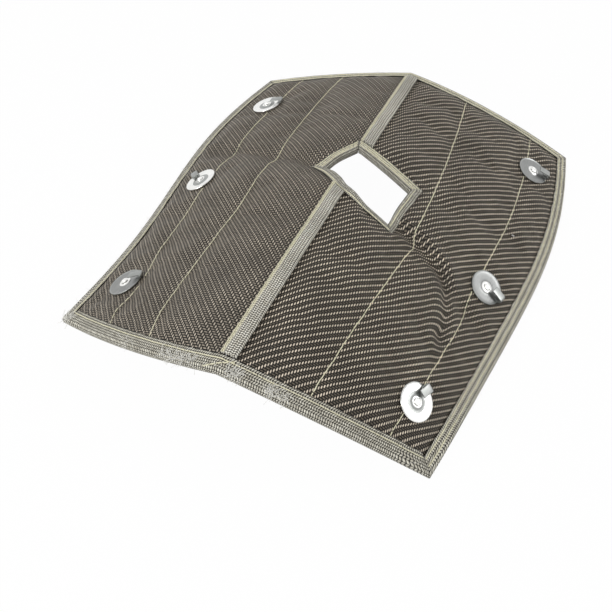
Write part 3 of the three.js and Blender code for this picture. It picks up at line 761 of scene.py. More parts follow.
# %% Cover and liner materials
def cloth_material(name, twill, spacing, warp_colour_and_sheen, weft_colour_and_sheen, gap_shade_colour, roughness, bump, sheen):
    material, tree, shader = new_material(name, roughness, sheen=sheen, specular=0.22)
    shader.inputs["Sheen Roughness"].default_value = 0.4
    place = node(tree, "ShaderNodeUVMap", uv_map="weave")
    yarns = node(tree, "ShaderNodeGroup", {
        "Cloth": place.outputs[0],
        "Warp Spacing": spacing[0],
        "Weft Spacing": spacing[1],
    }, node_tree=twill)
    # The warp and weft colours are the yarn's colour plus painted sheen: one set of floats is painted
    # lighter, as if catching the light along its fibres.
    colour = blend_colours(tree, yarns.outputs["Weft On Top"], warp_colour_and_sheen, weft_colour_and_sheen)
    tone = fit_range(tree, yarns.outputs["Yarn Tone"], 0, 1, 0.82, 1.14)
    patches = rough_noise(tree, place.outputs[0], 0.035, 3)
    light = product(tree, tone, fit_range(tree, patches, 0.3, 0.7, 0.82, 1.15))
    lit = node(tree, "ShaderNodeVectorMath", {0: colour, "Scale": light}, operation="SCALE")
    # Where the yarns dip, the colour blends towards a near-black painted shade between the yarns.
    depth = fit_range(tree, yarns.outputs["Height"], 0.42, 0.95)
    feed(tree, shader.inputs["Base Color"], blend_colours(tree, depth, gap_shade_colour, lit.outputs[0]))
    raise_surface(tree, shader, bump, yarns.outputs["Height"])
    return material


twill = twill_group()
# Both panels are the same cloth. Their colours are lit and shaded copies: the right panel's floats carry
# strong painted sheen, the left panel's weaker painted sheen.
right_cloth = cloth_material(
    "cover_cloth_right_sheen_painted", twill, (1.40, 1.40), rgb(0.86, 0.75, 0.60), rgb(0.13, 0.11, 0.082),
    rgb(0.004, 0.003, 0.002), 0.55, 0.0004, 0.0)
left_cloth = cloth_material(
    "cover_cloth_left_sheen_painted", twill, (1.62, 1.45), rgb(0.58, 0.51, 0.415), rgb(0.36, 0.312, 0.248),
    rgb(0.006, 0.005, 0.0035), 0.5, 0.0004, 0.0)
liner = cloth_material(
    "silica_liner", twill, (0.9, 0.9), rgb(0.50, 0.46, 0.38), rgb(0.56, 0.52, 0.44),
    rgb(0.30, 0.27, 0.22), 0.75, 0.0001, 0.1)

for panel, cloth in ((LEFT, left_cloth), (RIGHT, right_cloth)):
    made = covers[panel["name"]]
    made.data.materials.append(cloth)
    made.data.materials.append(liner)
    for face in made.data.polygons:
        face.material_index = 1 if face.normal.z < -0.3 else 0
    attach(made, "root")
    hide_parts("quilted_panel_" + panel["name"])
print("cover materials:", right_cloth.name, left_cloth.name, liner.name)

# %% [markdown]
# ## Binding tape
# Every cut edge of the blanket is held in a knitted tape, folded over it and sewn through. A bevelled box
# would read as rubber, and a curve with a bevel can't grip the cloth. So each tape is lofted: a folded
# section is carried along stations on the cloth's edge, one pair of points at each, the cut edge and the
# tape's inner edge. Slow noise lets the inner edge wander and lift, as hand-sewn tape does.

# %% Where tape runs
TAPE_STEP = 1.3
TAPE_WALL = 1.0
MITRE_FROM = 0.8
FLUTTER, FLUTTER_SIZE = 0.22, 3.1


def height_at(x, y):
    heights = []
    for panel in (LEFT, RIGHT):
        across, along = cloth_place(panel, x, y)
        heights.append((across > 0, padding(panel, across, along)[2]))
    return np.where(heights[0][0], heights[0][1], heights[1][1])


def cloth_points(panel, across, along):
    x, y, middle, _ = padding(panel, across, along)
    return np.stack([x, y, middle], -1)


def end_stations(end):
    runs = []
    for panel in (LEFT, RIGHT):
        across = np.linspace(0, 1, round(panel["widths"][1] / TAPE_STEP) + 1)
        across = across[::-1] if panel is LEFT else across[1:]
        half_run = (back_y(panel, across) - front_y(panel, across)) / 2
        inner_across = across - smooth((across - MITRE_FROM) / 0.2) * TAPE_WIDTH / width_of(panel, end)
        inner = cloth_points(panel, inner_across, end * (1 - TAPE_WIDTH / half_run))
        runs.append(np.stack([cloth_points(panel, across, end + 0 * across), inner], 1))
    return np.concatenate(runs)


def side_stations(panel):
    half_run = sum(panel["reach"]) / 2
    along = np.linspace(-1, 1, round(2 * half_run / TAPE_STEP) + 1)
    inner_along = along - np.sign(along) * smooth((np.abs(along) - MITRE_FROM) / 0.2) * TAPE_WIDTH / half_run
    inner_across = 1 - TAPE_WIDTH / width_of(panel, along)
    outer = cloth_points(panel, 1 + 0 * along, along)
    return np.stack([outer, cloth_points(panel, inner_across, inner_along)], 1)


def cutout_stations(first, last):
    runs = []
    for k in range(first, last):
        a, b = k % 5, (k + 1) % 5
        count = round(np.linalg.norm(CUT_LINE[b] - CUT_LINE[a]) / TAPE_STEP)
        share = np.linspace(0, 1, count + 1)[0 if k == first else 1:, None]
        runs.append(np.stack([mix(line[a], line[b], share) for line in (CUT_LINE, TAPE_LINE)], 1))
    flat = np.concatenate(runs)
    return np.concatenate([flat, height_at(flat[..., 0], flat[..., 1])[..., None]], -1)


# %% Loft a folded strip
def ribbon(path, wall):
    path = np.array(path, float)
    run = np.gradient(path, axis=0)
    side = np.stack([-run[:, 1], run[:, 0]], -1) / np.linalg.norm(run, axis=1)[:, None]
    section = np.concatenate([path + side * wall / 2, (path - side * wall / 2)[::-1]])
    over = np.concatenate([[0], np.cumsum(np.linalg.norm(np.diff(path, axis=0), axis=1))])
    return section, np.concatenate([over, over[::-1]])


def binding_path(shows):
    run = shows - CLEARANCE
    up = FLANGE / 2 + CLEARANCE + TAPE_WALL / 2
    off = CLEARANCE + TAPE_WALL / 2
    flat = [(-run * (1 - k / 9), up) for k in range(10)]
    fold = [(off * math.sin(t), up * math.cos(t)) for t in np.linspace(0, math.pi, 9)[1:-1]]
    return flat + fold + [(-run * k / 9, -up) for k in range(10)]


def loft_faces(count, around):
    at = np.arange(count * around).reshape(count, around)
    turn = np.roll(at, -1, axis=1)
    faces = np.stack([at[:-1], turn[:-1], turn[1:], at[1:]], -1).reshape(-1, 4).tolist()
    for row in (at[0], at[-1]):
        faces += [[int(row[k]) for k in (i, i + 1, -2 - i, -1 - i)] for i in range(around // 2 - 1)]
    return faces


def strip_mesh(name, sections, over):
    count, around = sections.shape[:2]
    mesh = bpy.data.meshes.new(name)
    mesh.from_pydata(in_frame(sections).reshape(-1, 3).tolist(), [], loft_faces(count, around))
    length = np.concatenate([[0], np.cumsum(np.linalg.norm(np.diff(sections[:, 0], axis=0), axis=1))])
    write_weave(mesh, np.stack([np.repeat(length, around), np.tile(over, count)], -1))
    even_normals(mesh)
    mesh.shade_smooth()
    return add_object(name, mesh), float(length[-1]), float(over.max())


def binding_tape(name, stations, shows, seed, wander=0.5, lift=0.3):
    for end, following in ((0, 1), (-1, -2)):
        step = stations[following, 0] - stations[end, 0]
        stations[end] = stations[end] + step / np.linalg.norm(step) * CLEARANCE
    section, over = ribbon(binding_path(shows), TAPE_WALL)
    edge, inner = stations[:, 0], stations[:, 1]
    outward = (edge - inner) / TAPE_WIDTH
    loose = np.clip(-section[:, 0] / shows, 0, 1) ** 2
    top = (section[:, 1] > 0).astype(float)
    slide = wander * uneven(edge, 7, seed)[:, None] * loose
    rise = lift * (0.4 + uneven(edge, 11, seed + 5))[:, None] * loose * np.where(top, 1, -1)
    flutter = FLUTTER * uneven(edge, FLUTTER_SIZE, seed + 9)[:, None]
    rise = rise + flutter * np.where(top, 1, -1) * (section[:, 0] < 0)
    sections = edge[:, None] + outward[:, None] * (section[None, :, :1] + slide[..., None])
    sections[..., 2] += section[None, :, 1] + rise
    return strip_mesh(name, sections, over)


# %% Bindings of the two panels and the cutout
BINDINGS = {
    "front_binding": end_stations(-1),
    "rear_binding": end_stations(1),
    "left_binding": side_stations(LEFT),
    "right_binding": side_stations(RIGHT),
    "cutout_binding_left": cutout_stations(0, 1),
    "cutout_binding_front": cutout_stations(1, 3),
    "cutout_binding_right": cutout_stations(3, 4),
    "cutout_binding_rear": cutout_stations(4, 5),
}
SHOWS = {
    "front_binding": FRONT_SHOWS,
    "rear_binding": REAR_SHOWS,
    "left_binding": SIDE_SHOWS,
    "right_binding": SIDE_SHOWS,
}
tapes = {}
for seed, (name, stations) in enumerate(BINDINGS.items()):
    shows = SHOWS.get(name, CUTOUT_SHOWS)
    tapes[name] = binding_tape(name.replace("binding", "tape"), stations, shows, 11 * seed + 3)
    print(name, "tape is", round(tapes[name][1]), "mm long,", len(tapes[name][0].data.polygons), "faces")

# %% [markdown]
# The ridge seam lies under a lighter tape, folded in two along its right side and sewn down by two rows of
# thread on its left. Its ribs run straight across, one each 1.6 mm, and are real waves in the mesh: they
# break up its silhouette, which a bump map wouldn't do. It stops short of the cutout's tape.

# %% Seam tape
RIB_PITCH = 1.6
RIB_RISE = 0.07
RIB_STEPS = 4
SEAM_WALL = 0.85


def seam_path():
    left, right = -SEAM_TAPE_LEFT, 7.6
    low = FLANGE / 2 + CLEARANCE + 0.42
    under = [(mix(left + 0.3, right - 1.2, k / 8), low) for k in range(9)]
    turn = np.linspace(0, math.pi, 8)[1:-1]
    fold = [(right - 1.2 + 1.1 * math.sin(t), low + 1.05 - 1.05 * math.cos(t)) for t in turn]
    over = [(right - 1.2, low + 2.1), (5, low + 2.15), (3.4, low + 2.0), (1.8, low + 1.85), (0.5, low + 1.6)]
    over += [(-0.8, low + 1.25), (-1.8, low + 1.05), (left + 0.7, low + 0.98), (left + 0.1, low + 0.95)]
    return under + fold + over


def seam_limit(out, outside, inside):
    line = cutout_outline(WRAP + CUTOUT_SHOWS + CLEARANCE)
    for _ in range(30):
        y = (outside + inside) / 2
        x = through_three(RIDGE_DRIFT, y * 2 / RIDGE_LENGTH) + out
        if outside_of(line, x, y) > 0:
            outside = y
        else:
            inside = y
    return outside


def seam_tape(name, start, inside, seed):
    section, over = ribbon(seam_path(), SEAM_WALL)
    limits = np.array([seam_limit(out, start * 0.5, inside) for out in section[:, 0]])
    count = round(abs(limits.mean() - start) / RIB_PITCH) * RIB_STEPS
    share = np.linspace(0, 1, count + 1)[:, None]
    y = mix(start, limits[None], share)
    along = y * 2 / RIDGE_LENGTH
    x = through_three(RIDGE_DRIFT, along) + section[None, :, 0]
    spots = np.stack([x[:, 0], y[:, 0], 0 * y[:, 0]], -1)
    loose = smooth((section[:, 1] - 3.4) / 1.5)
    rib = RIB_RISE * np.sin(2 * math.pi * share * count / RIB_STEPS) * (section[:, 1] > 3.1)
    sway = 0.7 * uneven(spots, 17, seed)[:, None] * loose
    lift = 0.6 * uneven(spots, 23, seed + 4) + 0.7 * uneven(spots, 5, seed + 8)
    rise = lift[:, None] * loose + rib
    z = height_at(x, y) + section[None, :, 1] + rise
    return strip_mesh(name, np.stack([x + sway, y, z], -1), over)


ridge_end = RIDGE_LENGTH / 2 - TAPE_WIDTH - 2 * CLEARANCE
tapes["seam_tape_front"] = seam_tape("ridge_tape_front", FRONT_SHOWS + 0.7 - RIDGE_LENGTH / 2, 12.0, 31)
tapes["seam_tape_rear"] = seam_tape("ridge_tape_rear", RIDGE_LENGTH / 2 - REAR_SHOWS - 0.7, 30.0, 47)
for name in ("seam_tape_front", "seam_tape_rear"):
    print(name, "is", round(tapes[name][1]), "mm long")

# %% [markdown]
# ## Knitted tape cloth
# The tape is knitted from thick two-tone yarn, so from a step away it looks salt and pepper. A group lays
# out small slanted loops on the tape's own coordinates: each loop is a low bump and has a tone of its own.
# The ridge tape uses the same group with loops as long as one rib, so that each row of them is a rib.

# %% Knit group and tape materials
def knit_group():
    group, start, end = new_group(
        "Knit loops", "ShaderNodeTree",
        {"Cloth": VECTOR, "Loop Length": FLOAT, "Loop Width": FLOAT, "Slant": FLOAT},
        {"Height": FLOAT, "Loop Tone": FLOAT})
    parts = node(group, "ShaderNodeSeparateXYZ", {0: start.outputs["Cloth"]})
    v = calc(group, "DIVIDE", parts.outputs[1], start.outputs["Loop Width"])
    zigzag = calc(group, "PINGPONG", v, 1.0)
    u = calc(group, "DIVIDE", parts.outputs[0], start.outputs["Loop Length"])
    u = total(group, u, product(group, zigzag, start.outputs["Slant"]))
    round_u = calc(group, "ABSOLUTE", calc(group, "SINE", product(group, u, math.pi)))
    round_v = calc(group, "ABSOLUTE", calc(group, "SINE", product(group, v, math.pi)))
    height = product(group, calc(group, "POWER", round_u, 0.7), calc(group, "POWER", round_v, 0.4))
    cell = node(group, "ShaderNodeCombineXYZ", {0: calc(group, "FLOOR", u), 1: calc(group, "FLOOR", v)})
    tone = node(group, "ShaderNodeTexWhiteNoise", {"Vector": cell.outputs[0]}, noise_dimensions="3D")
    feed(group, end.inputs["Height"], height)
    feed(group, end.inputs["Loop Tone"], tone.outputs[0])
    return group


def tape_material(name, loops, size, slant, dark, pale, loop_gap_shade, contrast, bump):
    material, tree, shader = new_material(name, 0.8, sheen=0.1, specular=0.25)
    place = node(tree, "ShaderNodeUVMap", uv_map="weave")
    knit = node(tree, "ShaderNodeGroup", {
        "Cloth": place.outputs[0],
        "Loop Length": size[0],
        "Loop Width": size[1],
        "Slant": slant,
    }, node_tree=loops)
    fuzz = rough_noise(tree, place.outputs[0], 1.6, 4)
    patches = rough_noise(tree, place.outputs[0], 0.09)
    loop_tone = product(tree, knit.outputs["Loop Tone"], contrast)
    tone = total(tree, loop_tone, product(tree, fuzz, 1 - contrast))
    tone = total(tree, tone, product(tree, calc(tree, "SUBTRACT", patches, 0.5), 0.5))
    colour = blend_colours(tree, fit_range(tree, tone, 0.2, 0.8), dark, pale)
    # Low parts between the loops and ribs blend into a near-black painted shade.
    depth = fit_range(tree, knit.outputs["Height"], 0.35, 0.85)
    feed(tree, shader.inputs["Base Color"], blend_colours(tree, depth, loop_gap_shade, colour))
    raise_surface(tree, shader, bump, total(tree, knit.outputs["Height"], product(tree, fuzz, 0.5)))
    return material


loops = knit_group()
edge_knit = tape_material(
    "binding_knit", loops, (1.6, 1.8), 0.5, rgb(0.56, 0.525, 0.43), rgb(0.95, 0.92, 0.79),
    rgb(0.02, 0.018, 0.014), 0.5, 0.0007)
ridge_knit = tape_material(
    "ridge_tape_knit", loops, (RIB_PITCH, 1.6), 0.5, rgb(0.74, 0.70, 0.59), rgb(0.95, 0.93, 0.83),
    rgb(0.06, 0.055, 0.045), 0.5, 0.0005)
opening_knit = tape_material(
    "cutout_tape_knit", loops, (1.5, 1.7), 0.5, rgb(0.52, 0.485, 0.40), rgb(0.86, 0.835, 0.72),
    rgb(0.05, 0.046, 0.037), 0.55, 0.0006)

KNITS = {"seam": ridge_knit, "cutout": opening_knit}
for name, (made, length, width) in tapes.items():
    made.data.materials.append(KNITS.get(name.split("_")[0], edge_knit))
    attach(made, "root")
    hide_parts(name)
print("tapes declared as sheets:", len(tapes))

# %% [markdown]
# ## Stitching
# The blanket is sewn with a thick pale-yellow thread. A painted line would vanish from the side, and a
# thousand stitches can't be placed by hand. A Geometry Nodes tree turns each sewing line into a curve,
# marks it off in stitch lengths, and sets a short bowed thread on every mark, turned along the line and
# standing on the cloth. The lines themselves are dropped onto the finished cloth and tape by ray casting.

# %% Stitch tree
GEOMETRY = "NodeSocketGeometry"
MATERIAL = "NodeSocketMaterial"


def swept(tree, path, radius, sides):
    circle = node(tree, "GeometryNodeCurvePrimitiveCircle", {"Resolution": sides, "Radius": radius})
    inputs = {"Curve": path, "Profile Curve": circle.outputs[0], "Fill Caps": True}
    return node(tree, "GeometryNodeCurveToMesh", inputs).outputs[0]


def stitch_tree():
    tree, start, end = new_group(
        "Stitch row", "GeometryNodeTree",
        {"Lines": GEOMETRY, "Spacing": FLOAT, "Stitch Length": FLOAT, "Thread Radius": FLOAT, "Bow": FLOAT,
         "Thread": MATERIAL}, {"Stitches": GEOMETRY})
    line = node(tree, "GeometryNodeMeshToCurve", {"Mesh": start.outputs["Lines"]})
    marks = node(
        tree, "GeometryNodeResampleCurve",
        {"Curve": line.outputs[0], "Length": start.outputs["Spacing"]}, mode="LENGTH")
    up = node(tree, "GeometryNodeInputNamedAttribute", {"Name": "up"}, data_type="FLOAT_VECTOR")
    lie = node(
        tree, "FunctionNodeAlignRotationToVector",
        {"Vector": node(tree, "GeometryNodeInputTangent").outputs[0]}, axis="X")
    stand = node(
        tree, "FunctionNodeAlignRotationToVector",
        {"Rotation": lie.outputs[0], "Vector": up.outputs["Attribute"]}, axis="Z", pivot_axis="X")

    def point(share, rise):
        made = node(tree, "ShaderNodeCombineXYZ", {
            0: product(tree, start.outputs["Stitch Length"], share),
            2: product(tree, start.outputs["Bow"], rise),
        })
        return made.outputs[0]

    bow = node(tree, "GeometryNodeCurveQuadraticBezier", {"Resolution": 5})
    for name, share, rise in (("Start", -0.5, -1.0), ("Middle", 0.0, 1.6), ("End", 0.5, -1.0)):
        feed(tree, bow.inputs[name], point(share, rise))
    thread = swept(tree, bow.outputs[0], start.outputs["Thread Radius"], 6)
    pull = random_vector(tree, (0.86, 0.85, 0.8), (1.08, 1.15, 1.2), 7)
    return close_tree(tree, end, marks.outputs[0], thread, stand.outputs[0], pull, start)


def random_vector(tree, low, high, seed):
    made = node(tree, "FunctionNodeRandomValue", {0: low, 1: high, "Seed": seed}, data_type="FLOAT_VECTOR")
    return made.outputs[0]


def close_tree(tree, end, points, shape, turn, scale, start):
    placed = node(tree, "GeometryNodeInstanceOnPoints")
    for socket, value in (("Points", points), ("Instance", shape), ("Rotation", turn), ("Scale", scale)):
        feed(tree, placed.inputs[socket], value)
    real = node(tree, "GeometryNodeRealizeInstances", {0: placed.outputs[0]})
    painted = node(
        tree, "GeometryNodeSetMaterial", {"Geometry": real.outputs[0], "Material": start.outputs["Thread"]})
    feed(tree, end.inputs[0], painted.outputs[0])
    return tree


def run_tree(name, mesh, tree, settings):
    source = add_object(name + "_source", mesh)
    modifier = source.modifiers.new("made", "NODES")
    modifier.node_group = tree
    for item in tree.interface.items_tree:
        if item.in_out == "INPUT" and item.name in settings:
            modifier[item.identifier] = settings[item.name]
    shown = source.evaluated_get(bpy.context.evaluated_depsgraph_get())
    made = add_object(name, bpy.data.meshes.new_from_object(shown))
    bpy.data.objects.remove(source)
    made.data.shade_smooth()
    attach(made, "root")
    print(name, len(made.data.polygons), "faces")
    return made


# %% Thread
def thread_material(name, pale, deep):
    material, tree, shader = new_material(name, 0.55, sheen=0.15, specular=0.35)
    place = node(tree, "ShaderNodeTexCoord")
    twist = rough_noise(tree, place.outputs["Object"], 1400, 3)
    colour = blend_colours(tree, fit_range(tree, twist, 0.3, 0.7), deep, pale)
    feed(tree, shader.inputs["Base Color"], colour)
    raise_surface(tree, shader, 0.0001, twist)
    return material


sewing_thread = thread_material("sewing_thread", rgb(0.90, 0.87, 0.66), rgb(0.66, 0.62, 0.42))
white_fibre = thread_material("white_fibre", rgb(0.95, 0.94, 0.90), rgb(0.82, 0.81, 0.75))
sewing = stitch_tree()
bpy.context.view_layer.update()
graph = bpy.context.evaluated_depsgraph_get()
surfaces = {name: BVHTree.FromObject(made, graph) for name, made in covers.items()}
surfaces.update({name: BVHTree.FromObject(item[0], graph) for name, item in tapes.items()})


RAY_START = 0.3
WASHER_KEEPS_OFF = 1.2


def lay_on(surface, xy):
    points, ups = [], []
    for x, y in xy:
        down = Vector((*((np.array([x, y]) + STANDS_AT[:2]) * MM), RAY_START))
        place, normal, _, _ = surfaces[surface].ray_cast(down, Vector((0, 0, -1)))
        washer_off = min(math.hypot(x - seat["x"], y - seat["y"]) for seat in SEATS.values())
        if place is None or washer_off < WASHER / 2 + WASHER_KEEPS_OFF:
            points.append(None)
            ups.append(None)
        else:
            points.append(place)
            ups.append(normal)
    return points, ups


def sew(name, rows, spacing=4.7, length=4.3, radius=0.34, bow=0.2):
    points, ups, edges = [], [], []
    for surface, xy in rows:
        before = None
        for place, normal in zip(*lay_on(surface, xy)):
            if place is None:
                before = None
                continue
            points.append(place + normal * radius * 0.5 * MM)
            ups.append(normal)
            if before is not None:
                edges.append((before, len(points) - 1))
            before = len(points) - 1
    mesh = bpy.data.meshes.new(name)
    mesh.from_pydata([tuple(p) for p in points], edges, [])
    upward = mesh.attributes.new("up", "FLOAT_VECTOR", "POINT")
    upward.data.foreach_set("vector", np.array(ups, float).ravel())
    settings = {"Spacing": spacing * MM, "Stitch Length": length * MM, "Thread Radius": radius * MM}
    return run_tree(name, mesh, sewing, {**settings, "Bow": bow * MM, "Thread": sewing_thread})


# %% Quilting rows
OFF_THE_CLOTH = 1e4
ROW_POINTS = 260
THREAD_WANDER, WANDER_SIZE = 0.5, 9
TAPE_THREAD_WANDER, TAPE_WANDER_SIZE = 0.3, 8


def quilting_row(panel, number):
    along = np.linspace(-1, 1, ROW_POINTS)[3:-3]
    across = quilt_lines(panel, along)[number]
    x, y = plan_point(panel, across, along)
    spots = np.stack([x, y, 0 * x], -1)
    x = x + THREAD_WANDER * uneven(spots, WANDER_SIZE, 3 + number)
    off_hole = outside_of(PUFF_LINE, x, y) > 0.5
    inside = np.minimum.reduce(tape_distances(panel, across, along)) > 0.3
    shown = (off_hole & inside)[:, None]
    return panel["name"], np.where(shown, np.stack([x, y], -1), OFF_THE_CLOTH)


for panel in (LEFT, RIGHT):
    sew("quilting_thread_" + panel["name"], [quilting_row(panel, number) for number in (0, 1)])

# %% Rows of thread on the tapes
def tape_row(name, depth, seed):
    edge, inner = BINDINGS[name][:, 0, :2], BINDINGS[name][:, 1, :2]
    spots = edge + (inner - edge) * depth / TAPE_WIDTH
    flat = np.pad(spots, ((0, 0), (0, 1)))
    spots = spots + (TAPE_THREAD_WANDER * uneven(flat, TAPE_WANDER_SIZE, seed))[:, None]
    return name, spots[2:-2]


TAPE_ROWS = {
    "front_binding": (6.9,),
    "rear_binding": (2.2, 5.6),
    "left_binding": (6.2,),
    "right_binding": (2.4, 6.0),
    "cutout_binding_left": (1.6, 3.4, 5.4),
    "cutout_binding_front": (5.2,),
    "cutout_binding_right": (2.0,),
    "cutout_binding_rear": (1.6, 3.4, 5.4),
}
TAPE_THREAD = {"radius": 0.36, "bow": 0.14}
for seed, (name, depths) in enumerate(TAPE_ROWS.items()):
    rows = [tape_row(name, depth, seed + depth) for depth in depths]
    sew(name.replace("binding", "thread"), rows, spacing=3.6, length=3.4, **TAPE_THREAD)

middle_station = len(BINDINGS["front_binding"]) // 2
crossing = []
for step, depth in enumerate(np.linspace(7.5, 0.2, 12)):
    edge, inner = BINDINGS["front_binding"][middle_station + 4 - step, :, :2]
    crossing.append(edge + (inner - edge) * depth / TAPE_WIDTH)
sew("crossing_thread", [("front_binding", crossing)], spacing=3.4, length=3.2, **TAPE_THREAD)

SEAM_RUNS = {"seam_tape_front": (-ridge_end + 1, 14, 130), "seam_tape_rear": (34, ridge_end - 1, 110)}
for name, (first, last, count) in SEAM_RUNS.items():
    rows = []
    for out in (-2.5, -1.2):
        y = np.linspace(first, last, count)
        x = through_three(RIDGE_DRIFT, y * 2 / RIDGE_LENGTH) + out
        rows.append((name, np.stack([x, y], -1)))
    sew(name.replace("seam_tape", "ridge_thread"), rows, spacing=3.8, length=3.6, radius=0.38, bow=0.14)

# %% [markdown]
# ## Frayed fibres
# Where the blanket has been handled its tape is worn, and pale fibres stand out of it, most of all along
# the front. A particle system's hair doesn't survive an export, so a second Geometry Nodes tree sets one
# short curled fibre on each of about a thousand points and turns and scales it by a seeded random number.

# %% Fray tree
def fray_tree():
    tree, start, end = new_group(
        "Frayed fibres", "GeometryNodeTree",
        {"Roots": GEOMETRY, "Fibre Length": FLOAT, "Fibre Radius": FLOAT, "Thread": MATERIAL},
        {"Fibres": GEOMETRY})
    curl = node(tree, "GeometryNodeCurveQuadraticBezier", {"Resolution": 5})
    bends = {"Start": (0, 0, -0.05), "Middle": (0.5, 0.35, 0.3), "End": (1.0, -0.2, 0.05)}
    for name, shares in bends.items():
        point = node(tree, "ShaderNodeCombineXYZ")
        for socket, share in zip(point.inputs, shares):
            feed(tree, socket, product(tree, start.outputs["Fibre Length"], share))
        feed(tree, curl.inputs[name], point.outputs[0])
    fibre = swept(tree, curl.outputs[0], start.outputs["Fibre Radius"], 3)
    turn = random_vector(tree, (-0.4, -0.5, -3.1), (0.4, 0.25, 3.1), 21)
    grow = random_vector(tree, (0.35, 0.4, 0.4), (1.3, 1.2, 1.2), 22)
    return close_tree(tree, end, start.outputs["Roots"], fibre, turn, grow, start)


def fray(name, rooted, length, radius):
    roots = []
    for surface, xy in rooted:
        roots += [place for place in lay_on(surface, xy)[0] if place is not None]
    mesh = bpy.data.meshes.new(name)
    mesh.from_pydata([tuple(p) for p in roots], [], [])
    settings = {"Fibre Length": length * MM, "Fibre Radius": radius * MM, "Thread": white_fibre}
    return run_tree(name, mesh, frays, settings)


frays = fray_tree()
chance = np.random.default_rng(5)


def scattered(name, low, high, depths, count):
    stations = BINDINGS[name][:, :, :2]
    at = chance.uniform(low, high, count) * (len(stations) - 1)
    near = stations[at.astype(int)]
    depth = chance.uniform(*depths, count)[:, None] / TAPE_WIDTH
    return name, near[:, 0] + (near[:, 1] - near[:, 0]) * depth + chance.normal(0, 0.3, (count, 2))


WORN_SPOTS = ((0.0, 0.035, 70), (0.245, 0.262, 14), (0.36, 0.375, 30), (0.385, 0.445, 95),
              (0.525, 0.555, 60), (0.61, 0.665, 70))
worn_roots = [scattered("front_binding", low, high, (-1.2, 3.4), count)
              for low, high, count in WORN_SPOTS]
fray("front_fray", worn_roots, 5.2, 0.15)
fray("lint", [("right", [(120.0, 46.0)] * 5)], 1.5, 0.28)
loose_ends = [scattered(name, 0, 1, (-0.8, 1.5), 130) for name in SHOWS]
loose_ends += [scattered(name, 0, 1, (-0.6, 4), 26) for name in BINDINGS if name.startswith("cutout")]
fray("edge_fuzz", loose_ends, 2.6, 0.075)

# %% [markdown]
# ## Hook washers
# A hook washer is pressed from stainless sheet: a disc with an upturned rim, a raised eyelet for the rivet,
# and a tab cut at the rim and folded back over the disc as a hook. Spinning a profile gives the disc its
# true round rim, where a subdivided cylinder would soften the press marks.

# %% Turned and folded steel
def lathe(profile, sides):
    profile = np.array(profile, float)
    turn = np.linspace(0, 2 * math.pi, sides, endpoint=False)
    count = len(profile)
    points = np.stack([np.outer(np.cos(turn), profile[:, 0]), np.outer(np.sin(turn), profile[:, 0]),
                       np.tile(profile[:, 1], (sides, 1))], -1).reshape(-1, 3)
    at = np.arange(sides * count).reshape(sides, count)
    side = np.roll(at, -1, axis=0)
    faces = np.stack([at, side, np.roll(side, -1, axis=1), np.roll(at, -1, axis=1)], -1).reshape(-1, 4)
    return points, faces.tolist()


def folded_tab():
    rim, level = WASHER / 2, 0.5 + 0.45
    path = [(rim - 3 + 0.93 * k, level) for k in range(4)]
    bend, turn = 1.55, np.linspace(0, math.pi, 14)[1:-1]
    path += [(rim - 0.2 + bend * math.sin(t), level + bend - bend * math.cos(t)) for t in turn]
    path += [(rim - 0.2 - 2.0 * k, level + 3.1 + 0.05 * k) for k in range(5)]
    section, _ = ribbon(path, 0.9)
    middle = (section + section[::-1]) / 2
    rows = []
    for place, shrink in ((-0.6, 0.16), (-0.28, 0.0), (4.68, 0.0), (5.0, 0.16)):
        thin = middle + (section - middle) * (1 - shrink)
        rows.append(np.stack([thin[:, 0], np.full(len(thin), place), thin[:, 1]], -1))
    return np.concatenate(rows), loft_faces(len(rows), len(section))


def seat_frame(seat, lift, turn):
    normal = np.array([-seat["slopes"][0], -seat["slopes"][1], 1.0])
    normal /= np.linalg.norm(normal)
    over = np.array([1, 0, seat["slopes"][0]])
    ridge_run = np.cross(normal, over / np.linalg.norm(over))
    ridge_run /= np.linalg.norm(ridge_run)
    axes = np.stack([np.cross(ridge_run, normal), ridge_run, normal], -1)
    c, s = math.cos(math.radians(turn)), math.sin(math.radians(turn))
    spin = np.array([[c, -s, 0], [s, c, 0], [0, 0, 1]])
    return axes @ spin, np.array([seat["x"], seat["y"], seat["z"]]) + normal * lift


SHARP_FROM = math.radians(38)


def steel_piece(name, shapes, place, material, stands_for):
    axes, origin = place
    points, faces, start = [], [], 0
    for shape_points, shape_faces in shapes:
        points.append(shape_points @ axes.T + origin)
        faces += [[k + start for k in face] for face in shape_faces]
        start += len(shape_points)
    mesh = bpy.data.meshes.new(name)
    mesh.from_pydata(in_frame(np.concatenate(points)).tolist(), [], faces)
    even_normals(mesh, weld=1e-6)
    mesh.materials.append(material)
    mesh.shade_smooth()
    mesh.set_sharp_from_angle(angle=SHARP_FROM)
    made = add_object(name, mesh)
    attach(made, "root")
    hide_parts(stands_for)
    return made


# %% Steel materials
def worn_group():
    group, start, end = new_group(
        "Handled steel", "ShaderNodeTree", {"Place": VECTOR}, {"Smudge": FLOAT, "Scratch": FLOAT})
    for name, scale, detail, stretch in (("Smudge", 110, 4, (1, 1, 1)), ("Scratch", 900, 6, (1, 0.12, 1))):
        turned = node(group, "ShaderNodeMapping", {"Scale": stretch, "Vector": start.outputs["Place"]})
        grain = rough_noise(group, turned.outputs[0], scale, detail)
        feed(group, end.inputs[name], fit_range(group, grain, 0.3, 0.7))
    return group


def steel_material(name, worn, bright, dull, rough):
    material, tree, shader = new_material(name, 0.3, metallic=1.0)
    marks = node(
        tree, "ShaderNodeGroup", {0: node(tree, "ShaderNodeTexCoord").outputs["Object"]}, node_tree=worn)
    scratches = product(tree, marks.outputs["Scratch"], 0.4)
    tone = total(tree, product(tree, marks.outputs["Smudge"], 0.6), scratches)
    feed(tree, shader.inputs["Base Color"], blend_colours(tree, tone, dull, bright))
    feed(tree, shader.inputs["Roughness"], fit_range(tree, tone, 0, 1, rough + 0.12, rough - 0.05))
    raise_surface(tree, shader, 0.00003, marks.outputs["Scratch"])
    return material


